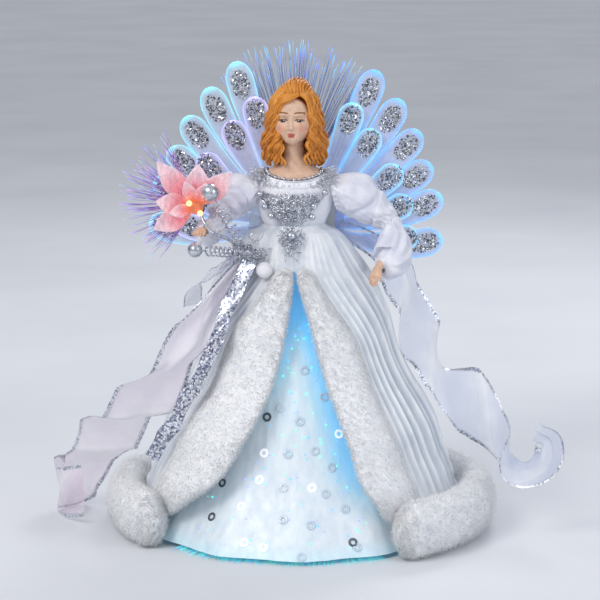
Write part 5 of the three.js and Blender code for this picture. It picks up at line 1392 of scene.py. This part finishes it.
def flakes(axis, lap, side, depth):
    """Small tilted six-sided glitter flakes that fill an oval"""
    at, across = on_axis(axis, np.float64(PATCH_AT))
    along = np.array([across[1], -across[0]])
    spot = np.sqrt(RANDOM.uniform(0, 1, FLAKES))
    turn = RANDOM.uniform(0, TAU, FLAKES)
    a, b = PATCH_HALF[0] * spot * np.cos(turn), PATCH_HALF[1] * spot * np.sin(turn)
    size = RANDOM.uniform(0.4, 0.75, FLAKES)[:, None]
    corner = RANDOM.uniform(0, TAU, FLAKES)[:, None] + turns(6)
    tilt = RANDOM.normal(0, 0.16, (FLAKES, 2))
    da, db = size * np.cos(corner), size * np.sin(corner)
    y = lap - FLAKE_LIFT - RANDOM.uniform(0, 0.35, FLAKES)[:, None] + tilt[:, :1] * da + tilt[:, 1:] * db
    flat = at + (a[:, None] + da)[..., None] * along + (b[:, None] + db)[..., None] * across
    points = hang_wing(np.stack([flat[..., 0], y, flat[..., 1]], -1), side, depth).reshape(-1, 3)
    shades = np.where(RANDOM.uniform(0, 1, FLAKES) < 0.38, 0.14, RANDOM.uniform(0.45, 0.95, FLAKES))
    faces = np.arange(FLAKES * 6).reshape(-1, 6).tolist()
    return (points, faces), np.repeat(shades[:, None] * FLAKE_COOL, 6, axis=0)


def wing_layer(name, side, feathers, scale, depth):
    shapes, edges, runs, spots, shades = [], [], [], [], []
    for order, one in enumerate(feathers):
        axis = feather_axis(one, order, len(feathers))
        lap = LAP * (len(feathers) - 1 - order)
        shape, edge, run = feather(axis, scale, lap, side, depth)
        flake, shade = flakes(axis, lap, side, depth)
        for kept, new in ((shapes, shape), (edges, edge), (runs, run), (spots, flake), (shades, shade)):
            kept.append(new)
    root = np.array([[x, y, z] for x in (11, 33) for y in (-ROOT_DEEP, 0.4) for z in (-15, 15)], float)
    shapes.append((hang_wing(root, side, depth), ROOT_FACES))
    edge = np.concatenate([*edges, np.zeros(8)])[:, None]
    # The blades are tinted with the painted rim light, most at their rims, where it also glows
    rim = mix(*RIMS[name.replace("wing_", "")], np.concatenate([*runs, np.zeros(8)])[:, None])
    piece = make(f"{name}_feathers", join(shapes), ACRYLIC, name,
                 tint=mix(BLADE_WHITE, rim, 0.18 + 0.5 * edge))
    paint(piece, "edge", rim * edge**1.5)
    make(f"{name}_glitter", join(spots), GLITTER, tint=np.concatenate(shades), soft=False)


def wings():
    for name, side in (("left", 1), ("right", -1)):
        for layer, *layout in WING_LAYERS:
            wing_layer(f"{name}_wing_{layer}", side, *layout)


# Light fibres
FIBRE_RADIUS = 0.21
FIBRE_LIT = 0.88
HOLDER_GREY = srgb(58, 60, 78)
HALO_COUNT, HALO_LENGTH = 190, 103
HALO_AT = np.array([BODY_X, 40.3, 231])
FLOWER = np.array([-71, -37, 228.0])
SPRAY_COUNT, SPRAY_LENGTH = 190, 56
HEM_COUNT = 130
HEM_INNER, HEM_OUTER = 85.8, 118
HEM_FIBRE_Z = 3.8


def fibre_spray(name, paths, tones, tips, node, holder, lit=FIBRE_LIT):
    """Strands with a colour along each, and a bright colour past the share lit of their length"""
    steps = paths.shape[1]
    shape = strands(paths, np.linspace(1, 0.75, steps) * FIBRE_RADIUS)
    run = np.linspace(0, 1, steps)[None, :, None]
    tint = np.repeat(mix(tones[0][:, None], tones[1][:, None], run), 3, axis=1).reshape(-1, 3)
    bright = np.repeat(tips[:, None] * smooth(run, lit, 1), 3, axis=1).reshape(-1, 3)
    tint = np.concatenate([tint, np.tile(HOLDER_GREY, (len(holder[0]), 1))])
    bright = np.concatenate([bright, np.zeros((len(holder[0]), 3))])
    piece = make(name, join([shape, holder]), FIBRE, node, tint=tint)
    paint(piece, "edge", bright)


def pick(colours, count):
    return np.array([srgb(*c) for c in colours])[RANDOM.integers(0, len(colours), count)]


def halo():
    count = HALO_COUNT
    share = RANDOM.uniform(-1, 1, count)
    start = HALO_AT + np.column_stack([10.5 * share, RANDOM.uniform(1.5, 7.5, count), np.full(count, 3)])
    length = HALO_LENGTH * (1 - 0.14 * share**2) * RANDOM.uniform(0.62, 1, count) ** 0.6
    tilt = np.radians(29) * share
    back = 3 + 9 * np.abs(share) + RANDOM.uniform(0, 4, count)
    end = start + np.column_stack([length * np.sin(tilt), back, length * np.cos(tilt) - 3])
    t = np.linspace(0, 1, 9)[None, :, None]
    bow = np.column_stack([-4 * np.sin(tilt) * length / 60, -2 + 0 * tilt, 2 + 0 * tilt])[:, None]
    paths = mix(start[:, None], end[:, None], t) + bow * np.sin(math.pi * t)
    tones = (pick([(150, 158, 182), (134, 144, 172)], count),
             pick([(124, 150, 214), (138, 142, 208), (116, 176, 222)], count))
    tips = pick([(60, 140, 255), (90, 210, 255), (120, 110, 255), (150, 240, 255)], count)
    collar = tube([(HALO_AT[0] + x, 44.8, 231) for x in (-12, -8, 8, 12)], [4.2, 4.5, 4.5, 4.2], 14)
    fibre_spray("halo_strands", paths, tones, tips, "halo_fibres", collar)


def bouquet_spray():
    count = SPRAY_COUNT
    base = FLOWER + (1, 8.8, 3)
    turn = np.radians(RANDOM.uniform(116, 238, count))
    depth = np.radians(RANDOM.uniform(2, 32, count))
    out = np.column_stack([np.cos(turn) * np.cos(depth), np.sin(depth), np.sin(turn) * np.cos(depth)])
    length = SPRAY_LENGTH * RANDOM.uniform(0.6, 1, count)[:, None]
    t = np.linspace(0, 1, 9)[None, :, None]
    bow = np.array([0, 1.5, -2.5]) * np.sin(math.pi * t) * t
    paths = mix((base + out * 3)[:, None], (base + out * length)[:, None], t) + bow
    tones = (pick([(234, 116, 162), (218, 110, 184)], count),
             pick([(122, 118, 220), (104, 126, 230), (150, 126, 222)], count))
    tips = pick([(120, 150, 255), (190, 170, 255), (160, 230, 255), (255, 160, 230)], count)
    cup = tube([base + (0, 0, z) for z in (-8, -6.5, 0, 6.5, 8)], [4, 5, 5.4, 5, 4], 16, 0.62)
    fibre_spray("bouquet_strands", paths, tones, tips, "bouquet_fibres", cup)


def hem_spray():
    count = HEM_COUNT
    angle = np.radians(np.linspace(-50, 29, count) + RANDOM.normal(0, 0.15, count))
    far = HEM_OUTER - 9 * RANDOM.uniform(0, 1, count)
    way = np.column_stack([np.sin(angle), -np.cos(angle), 0 * angle])
    t = np.linspace(0, 1, 6)[None, :, None]
    start = way * HEM_INNER + (0, 0, HEM_FIBRE_Z)
    end = way * far[:, None] + (0, 0, 1.0)
    paths = mix(start[:, None], end[:, None], t)
    tones = (pick([(70, 92, 108)], count), pick([(60, 150, 166), (72, 168, 176), (62, 136, 178)], count))
    tips = pick([(70, 230, 235), (110, 250, 240), (80, 190, 255)], count)
    bend = np.radians(np.linspace(-51, 30, 40))
    line = np.column_stack([85.7 * np.sin(bend), -85.7 * np.cos(bend), np.full(40, HEM_FIBRE_Z)])
    fibre_spray("hem_strands", paths, tones, tips, "hem_fibres", tube(line, 1.3, 8), 0.45)


# Bouquet: petals by their turn in degrees and length, then bulbs, balls on curled wires, stem and knot
PETALS = [(44, 34), (86, 29), (130, 40), (172, 27), (208, 32)]
SMALL_PETALS = [(66, 34), (110, 36), (190, 32)]
PETAL_LINE = [(0, 2.2), (0.3, 6.5), (0.55, 8), (0.8, 5), (1, 0.5)]
PETAL_ROWS, PETAL_COLUMNS = 30, 15
PETAL_PINK = srgb(250, 146, 154)
PETAL_PALE = srgb(253, 232, 235)
PETAL_AMBER = srgb(252, 150, 104)
BULBS = [(-4.2, -5.9, 3), (3.2, -6.4, -3.6)]
KNOT = np.array([-36, -37, 196.0])
KNOT_RADIUS = 5.5
BALL_UPPER, UPPER_RADIUS = np.array([-61, -47, 239.0]), 6
BALL_LOWER, LOWER_RADIUS = np.array([-71, -56, 201.5]), 5
PEARL_AT, PEARL_RADIUS = np.array([-24.95, -44.5, 186.1]), 5.6


def petal_shape(turn, length, spread=1.0, forward=0.0):
    turn = math.radians(turn)
    out = np.array([math.cos(turn), 0, math.sin(turn)])
    t = np.linspace(0, 1, PETAL_ROWS)
    foot, bend = FLOWER + out * 4, FLOWER + out * length / 2 + (0, -5 - forward, 0)
    tip = FLOWER + out * length + (0, -2 - 2 * forward, 0)
    path = bezier(foot, bend, tip, t[:, None])
    tangent, _, _ = frames(path)
    across = unit(np.cross(tangent, (0, -1, 0)))
    face = np.cross(across, tangent)
    half = curve(PETAL_LINE, t)[:, 0] * spread
    v = np.linspace(-1, 1, PETAL_COLUMNS)
    fold = 1.6 * v**2 - 0.9 * np.exp(-(v / 0.12) ** 2) + 0.3 * np.cos(v * 9)
    fold = fold[None, :] * smooth(t, 0, 0.2)[:, None]
    flat = path[:, None] + across[:, None] * (half[:, None] * v)[..., None]
    thick = 0.35 * np.sqrt(np.clip(1 - v**6, 0.05, 1))[None, :]
    lift = fold * 0.7 * (half / 8)[:, None]
    back, front = [flat + face[:, None] * (lift + sign * thick)[..., None] for sign in (-1, 1)]
    run = np.repeat(t, 2 * PETAL_COLUMNS)[:, None]
    side = np.tile(np.concatenate([np.abs(v), np.abs(v)[::-1]]), PETAL_ROWS)[:, None]
    warm = mix(PETAL_AMBER, PETAL_PINK, smooth(run, 0.05, 0.3))
    tint = mix(warm, PETAL_PALE, 0.8 * smooth(run, 0.3, 0.9) + 0.2 * side**2)
    return capped(np.concatenate([back, front[:, ::-1]], 1)), np.clip(tint, 0, 1)


def flower():
    made = [petal_shape(*one) for one in PETALS]
    made += [petal_shape(turn, length * 0.55, 0.6, 4) for turn, length in SMALL_PETALS]
    heart = ball(FLOWER, (5.3, 4.8, 5.3))
    shapes = [shape for shape, _ in made] + [heart]
    tint = np.concatenate([tint for _, tint in made] + [np.tile(PETAL_AMBER, (len(heart[0]), 1))])
    make("flower_petals_lit", join(shapes), PETAL, "flower_petals", tint=tint)
    rows = np.linspace(-3, 3, 16)
    wide = 0.25 + 1.75 * np.sqrt(np.clip(1 - (rows / 3.05) ** 2, 0, 1)) * (1 - 0.12 * rows / 3)
    for i, offset in enumerate(BULBS):
        at = FLOWER + offset
        path = np.column_stack([np.full(16, at[0]), at[1] - rows, np.full(16, at[2])])
        make(f"bulb_{i + 1}_lit", tube(path, wide, 14), BULB, f"flower_bulb_{i + 1}")


def bead(name, at, radius, look, node):
    """A hollow ball with a raised seam and a small eye for its wire"""
    toward = unit(KNOT - at)
    t = np.linspace(-1, 1, 41)
    path = at + toward * radius * t[:, None] * 0.999
    wide = radius * np.sqrt(np.clip(1 - t**2, 0.0012, 1)) + 0.12 * np.exp(-((t / 0.05) ** 2))
    wide = np.maximum(wide, np.where(t > 0.97, 0.9, 0))
    make(name, tube(path, wide, 32), look, node)


def coil(start, end, loops, wide, radius):
    t = np.linspace(0, 1, int(loops * 18))
    along = unit(end - start)
    across = unit(np.cross(along, (0, 0, 1)))
    swing = wide * smooth(np.minimum(t, 1 - t), 0, 0.5 / loops)
    path = mix(start, end, mix(0.1, 0.9, t)[:, None])
    path = path + swing[:, None] * spin(t * loops * TAU, across, np.cross(across, along))
    return tube(np.vstack([start, path, end]), radius, 7)


def stem():
    low = np.array([-50, -36, 206])
    first = FLOWER + unit(np.array([-64, -40.5, 217]) - FLOWER) * 5.6
    line = spline([first, (-62.2, -43, 213), low, KNOT + unit(low - KNOT) * 5.6], 40)
    turn = np.arange(40) * 1.3
    twine = line + 0.35 * np.column_stack([np.sin(turn), np.cos(turn), 0 * turn])
    shape = join([tube(line, 1.1, 10), tube(twine, 1.0, 8)])
    make("stem_wrapped", shape, SILVER, "bouquet_stem")


def knot():
    """A tied bundle: a wrapped core with loops of tinsel wire round it"""
    shapes = []
    turn = np.linspace(0, TAU, 30)
    for i in range(7):
        tilt = i * math.pi / 7
        ring = np.column_stack([np.cos(turn) * math.cos(tilt), np.sin(turn), np.cos(turn) * math.sin(tilt)])
        shapes.append(tube(KNOT + ring * (KNOT_RADIUS - 1.3), 1.25, 8))
    turn = np.linspace(0, 2.2 * TAU, 44)
    for _ in range(64):
        way = unit(RANDOM.normal(size=3) * (1.2, 0.7, 0.8) + (-0.15, -0.4, 0.15))
        side = unit(np.cross(way, RANDOM.normal(size=3)))
        wide = RANDOM.uniform(1.6, 2.6) * np.linspace(1, 0.35, 44)
        run = np.linspace(3.5, RANDOM.uniform(9, 19), 44)
        path = KNOT + way * run[:, None] + wide[:, None] * spin(turn, side, np.cross(way, side))
        shapes.append(tube(path, 0.3, 5))
    make("knot_tinsel", join(shapes), SILVER, "bouquet_knot")


def bouquet():
    bead("ball_upper_silver", BALL_UPPER, UPPER_RADIUS, SILVER, "silver_ball_upper")
    bead("ball_lower_silver", BALL_LOWER, LOWER_RADIUS, SILVER, "silver_ball_lower")
    bead("ball_pearl", PEARL_AT, PEARL_RADIUS, PEARL, "pearl_ball")
    for name, at, radius in (("upper", BALL_UPPER, UPPER_RADIUS), ("lower", BALL_LOWER, LOWER_RADIUS)):
        toward = unit(KNOT - at)
        shape = coil(at + toward * (radius + 0.1), KNOT - toward * (KNOT_RADIUS + 0.2), 7, 3.2, 0.6)
        make(f"curl_{name}_wire", shape, SILVER, f"curl_wire_{name}")
    stem()
    knot()


# Neckline: a tinsel fringe, a string of beads and a V of silver scrolls with balls
FRINGE_COUNT = 900
FRINGE_RADII = [0.26, 0.26, 0.24, 0.2, 0.14]
BEADS = 44
BODICE_BALLS = [(-28.4, 233.4, 2.2), (-25, 225.2, 2.3), (-20.7, 219.1, 2.3), (15.9, 234.6, 2.3),
                (8.5, 225.9, 2.4), (7.1, 218.5, 2.4), (-5, 228, 1.7), (-12, 222, 1.6)]
LACE_X = BODY_X - 1.6
LACE_TOP, LACE_BOTTOM = 233.5, 214
LACE_HALF = (6, 21)


def tinsel():
    count = FRINGE_COUNT
    angle = RANDOM.uniform(0, TAU, count)
    shoulder = smooth(np.abs(np.cos(angle)), 0.5, 0.95)
    z = BODICE_TOP - 1.4 + 7 * shoulder * RANDOM.uniform(0, 1, count) + RANDOM.normal(0, 0.5, count)
    start = body_at(angle, z, 1.8)
    face = unit(np.column_stack([np.cos(angle), np.sin(angle), 0 * angle]))
    length = RANDOM.uniform(0.8, 1.5, count) + 10 * shoulder * RANDOM.uniform(0.4, 1, count)
    droop = RANDOM.normal(0, 0.45, count) - 0.25 + 0.35 * shoulder
    stray = np.column_stack([RANDOM.normal(0, 0.35, count), RANDOM.normal(0, 0.35, count), droop])
    way = unit(face * (0.75 - 0.25 * shoulder)[:, None] + stray)
    t = np.linspace(0, 1, len(FRINGE_RADII))[None, :, None]
    paths = start[:, None] + way[:, None] * (length[:, None, None] * t) - np.array([0, 0, 2.2]) * t**2
    curl = np.sin(t * 5 + angle[:, None, None] * 9) * 0.5 * t
    paths = paths + curl * np.cross(face, (0, 0, 1))[:, None]
    angle = turns(80)
    band = body_at(angle, neck_line(angle) - 0.9, 1.9)
    band = tube(np.vstack([band, band[:1]]), 0.6, 8)
    make("collar_fringe", join([strands(paths, FRINGE_RADII, 4), band]), TINSEL, "collar_tinsel")


def beads():
    def spot(angle):
        return body_at(angle, neck_line(angle) + 0.9, 1.3)

    shapes = [ball(spot(angle), 1.4 if i % 2 else 1.0, 14, 9) for i, angle in enumerate(turns(BEADS))]
    shapes.append(tube(spot(np.arange(61) * TAU / 60), 0.35, 6))
    make("neck_beads", join(shapes), SILVER, "collar_beads")


def scroll(x, z, wide, loops, start, out):
    """A flat spiral of wire that lies on the bodice"""
    t = np.linspace(0, 1, int(26 * loops))
    angle = start + t * loops * TAU
    r = wide * (1 - 0.85 * t)
    return tube(on_body(x + r * np.cos(angle), z + r * np.sin(angle), out + 0.5 * np.sin(t * 9)), 0.42, 6)


def brooch():
    shapes = []
    for row, z in enumerate(np.arange(LACE_BOTTOM + 1, LACE_TOP, 2.8)):
        half = mix(*LACE_HALF, ((z - LACE_BOTTOM) / (LACE_TOP - LACE_BOTTOM)) ** 0.8)
        for x in np.arange(-half, half + 0.1, 3.4):
            at = LACE_X + x + 1.6 * (row % 2) + RANDOM.normal(0, 0.5)
            start = RANDOM.uniform(0, TAU)
            high, wide = z + RANDOM.normal(0, 0.5), RANDOM.uniform(2, 3)
            shapes.append(scroll(at, high, wide, 2, start, 2.8))
    run = np.linspace(0, 1, 40)
    for side in (-1, 1):
        x = LACE_X + side * mix(LACE_HALF[1] + 2, LACE_HALF[0] - 1, run)
        shapes.append(tube(on_body(x, mix(LACE_TOP, LACE_BOTTOM - 0.6, run**0.85), 2.7), 0.6, 7))
    for x, z, radius in BODICE_BALLS:
        shapes.append(ball(on_body(np.float64(x), np.float64(z), 3 + radius), radius))
    make("bodice_scrolls", join(shapes), SILVER, "bodice_brooch")


# Waist rosette: rings of wire loops round a silver ball, with curled ends that hang from it
ROSETTE_AT = np.array([-7.0, -29.6, 206.0])
ROSETTE_FACING = unit(np.array([-0.04, -0.74, 0.67]))
ROSETTE_RINGS = [(9, 5.4, 1.9), (13, 7.6, 1.5)]
ROSETTE_ENDS = 7


def rosette():
    side = unit(np.cross((0, 0, 1), ROSETTE_FACING))
    up = np.cross(ROSETTE_FACING, side)

    def spot(a, b, out):
        return ROSETTE_AT + np.outer(a, side) + np.outer(b, up) + np.outer(out, ROSETTE_FACING)

    shapes = [ball(ROSETTE_AT + ROSETTE_FACING * 1.6, 3.4)]
    turn = np.linspace(0, TAU, 24)
    for ring, (count, far, wide) in enumerate(ROSETTE_RINGS):
        along, across = far + 1.7 * np.cos(turn), wide * np.sin(turn)
        for k in range(count):
            way = (k + 0.5 * ring) * TAU / count
            a = along * math.cos(way) - across * math.sin(way)
            b = along * math.sin(way) + across * math.cos(way)
            shapes.append(tube(spot(a, b, 0.7 - 0.6 * ring + 0.5 * np.cos(turn)), 0.42, 6))
    t = np.linspace(0, 1, 34)
    for k in range(ROSETTE_ENDS):
        a = (k - 3) * (0.7 + 1.5 * t) + 1.1 * np.sin(9 * t + k)
        b = -7 - (7 + 3 * (k % 3)) * t
        shapes.append(tube(spot(a, b, 0.8 + 1.2 * np.sin(8 * t + k)), 0.32, 5))
    make("rosette_wire", join(shapes), SILVER, "waist_rosette")


# Ribbons: middle, direction across, share of the full width
RIBBON_HALF = 18
LAME_HALF = 5
LOOP_HALF = 10.8
RIBBON_ROWS, RIBBON_COLUMNS = 190, 25
BOUQUET_TRAIL = [
    ((-38, -37.5, 190), (1, 0.2, 0), 0.3), ((-55, -47, 168), (1, 0.3, -0.3), 0.5),
    ((-74, -54, 141), (0.9, 0.35, -0.45), 0.75), ((-93, -50, 112), (0.85, 0.1, -0.5), 0.85),
    ((-115, -24, 84), (0.85, 0.1, -0.45), 0.95), ((-136, 12, 60), (0.55, 0.3, -0.65), 1),
    ((-151, 38, 36), (0.15, 0.15, -0.95), 1), ((-163, 46, 22), (0, 0, -1), 1),
    ((-173, 30, 19.5), (0, 0, -1), 1), ((-166, 6, 20), (0, 0, -1), 1), ((-152, -4, 24), (0.1, -0.3, -0.9), 1),
]
BACK_TRAIL = [
    ((25.6, 21.3, 205), (0, 0.1, 1), 0.3), ((41, 22.5, 198), (0.2, 0.3, 0.9), 0.4),
    ((63, 26, 180), (0.8, 0.4, 0.4), 0.6), ((74, 26, 158), (0.9, 0.4, 0), 0.85),
    ((80, 22, 132), (0.75, 0.6, -0.1), 0.95), ((90, 14, 112), (0.4, 0.8, 0.2), 1),
    ((102, 2, 98), (0.5, 0.45, 0.6), 1), ((116, -8, 88), (0.65, 0.05, 0.7), 1),
    ((130, -17, 73), (0.55, -0.45, 0.6), 1), ((142, -28, 56), (0.3, -0.85, 0.2), 0.95),
    ((155, -44, 49), (0.1, -0.85, -0.5), 0.85), ((166, -50, 56), (0.35, -0.75, -0.5), 0.75),
    ((167, -46, 69), (0.5, -0.7, 0.1), 0.65), ((159, -42, 73), (0.6, -0.6, 0.4), 0.55),
]
LAME_TRAIL = [
    ((-35, -42.4, 191.4), (1, 0, 0.4), 1), ((-50, -54, 160), (0.9, 0.1, 0.4), 1),
    ((-62, -64, 130), (0.9, -0.3, 0.3), 1), ((-80, -62, 96), (0.9, -0.2, 0.4), 1),
    ((-102, -48, 57), (0.85, -0.4, 0.4), 1),
]
LOOP_TRAIL = [
    ((-41.8, -36.1, 194.6), (0.3, 1, 0.2), 0.6), ((-58, -36, 184), (0.3, 1, 0.4), 0.9),
    ((-72, -34, 172), (0.5, 0.9, 0.2), 1), ((-74, -33, 160), (0.6, 0.8, 0), 0.9),
]


def ribbon(name, stations, half, look, node, wave, gather=3.6):
    rows = np.array([(*at, *unit(np.array(way, float)), share) for at, way, share in stations])
    line = spline(rows, RIBBON_ROWS)
    path, across, share = line[:, :3], line[:, 3:6], line[:, 6:]
    tangent = unit(np.gradient(path, axis=0))
    across = unit(across - tangent * np.sum(across * tangent, -1, keepdims=True))
    face = unit(np.cross(tangent, across))
    v = np.linspace(-1, 1, RIBBON_COLUMNS)
    t = np.linspace(0, 1, RIBBON_ROWS)[:, None]
    curl = np.sin(t * 34 + 2.2 * v) * np.abs(v) ** 1.5 + 0.6 * np.sin(t * 21 + 1) * v
    curl = wave * curl * smooth(t, 0, 0.1) + gather * np.sqrt(np.clip(1 - share, 0, 1)) * np.sin(v * 7 + t * 8)
    fold = np.abs((t * 9 + 0.8 * v) % 2 - 1)
    crease = wave * (fold - 0.5) * smooth(t, 0.1, 0.3) * smooth(t, 1, 0.8)
    curl = curl + 6 * crease
    spread = half * share * v + 6.5 * crease
    points = path[:, None] + across[:, None] * spread[..., None] + face[:, None] * curl[..., None]
    points[..., 2] = np.maximum(points[..., 2], 0.4)
    piece = make(name, grid(points), look, node)
    weigh(piece, "wired", np.tile(smooth(np.abs(v), 0.86, 0.9), (RIBBON_ROWS, 1)))
    # fold also carries the painted shade and highlight of the creases
    weigh(piece, "fold", fold)


def ribbons():
    ribbon("ribbon_bouquet_tail", BOUQUET_TRAIL, RIBBON_HALF, ORGANZA_PINK,
           "ribbon_bouquet_trail", 1.2)
    ribbon("ribbon_back_tail", BACK_TRAIL, RIBBON_HALF, ORGANZA_BLUE,
           "ribbon_back_trail", 1.2)
    ribbon("ribbon_lame_strip", LAME_TRAIL, LAME_HALF, LAME,
           "ribbon_lame", 0.5)
    ribbon("ribbon_loop_blue", LOOP_TRAIL, LOOP_HALF, ORGANZA_BLUE,
           "ribbon_loop", 0.15, 0.6)


# The studio: a wide pale floor, soft lamps placed in metres, and an even light from above
FLOOR_REACH = 12000
FLOOR_STEPS = 41
LAMP_AIM = Vector((0, 0, 0.16))
WORLD_COLOUR, WORLD_STRENGTH = (0.86, 0.9, 1, 1), 0.38


def floor():
    look = Look("floor", (226, 228, 232), 0.8)
    look.colour(look.clouds(240, 3, (222, 224, 229), (231, 233, 236)))
    line = np.linspace(-FLOOR_REACH, FLOOR_REACH, FLOOR_STEPS)
    points = np.stack([*np.meshgrid(line, line), np.zeros((FLOOR_STEPS, FLOOR_STEPS))], -1)
    mesh_object("floor", grid(points), look.material)


def lamp(name, kind, at, power, colour, **settings):
    data = bpy.data.lights.new(name, kind)
    data.energy = power
    data.color = colour
    for setting, value in settings.items():
        setattr(data, setting, value)
    light = bpy.data.objects.new(name, data)
    light.location = at
    light.rotation_euler = (LAMP_AIM - Vector(at)).to_track_quat("-Z", "Y").to_euler()
    bpy.context.scene.collection.objects.link(light)


def studio():
    floor()
    world = bpy.data.worlds.new("studio")
    world.use_nodes = True
    inputs = world.node_tree.nodes["Background"].inputs
    inputs["Color"].default_value = WORLD_COLOUR
    inputs["Strength"].default_value = WORLD_STRENGTH
    bpy.context.scene.world = world
    lamp("key", "AREA", (-0.9, -1.1, 1.3), 11.5, (1, 0.98, 0.95), shape="DISK", size=0.7)
    lamp("fill", "AREA", (1.2, -0.9, 0.7), 4.5, (0.92, 0.95, 1), shape="DISK", size=0.9)
    lamp("back", "AREA", (0.4, 1.1, 1.2), 7, (0.95, 0.97, 1), shape="DISK", size=0.6)
    lamp("sky", "SUN", (-0.4, -0.9, 2), 0.65, (0.97, 0.98, 1), angle=math.radians(120))
    bpy.context.scene.view_settings.view_transform = "Standard"


for build in (dress_kept, bodice, underskirt, sequins, light_points, overskirt, furs, sleeves, hands, head,
              hair, wings, halo, bouquet_spray, hem_spray, flower, bouquet, tinsel, beads, brooch, rosette,
              ribbons, studio):
    build()
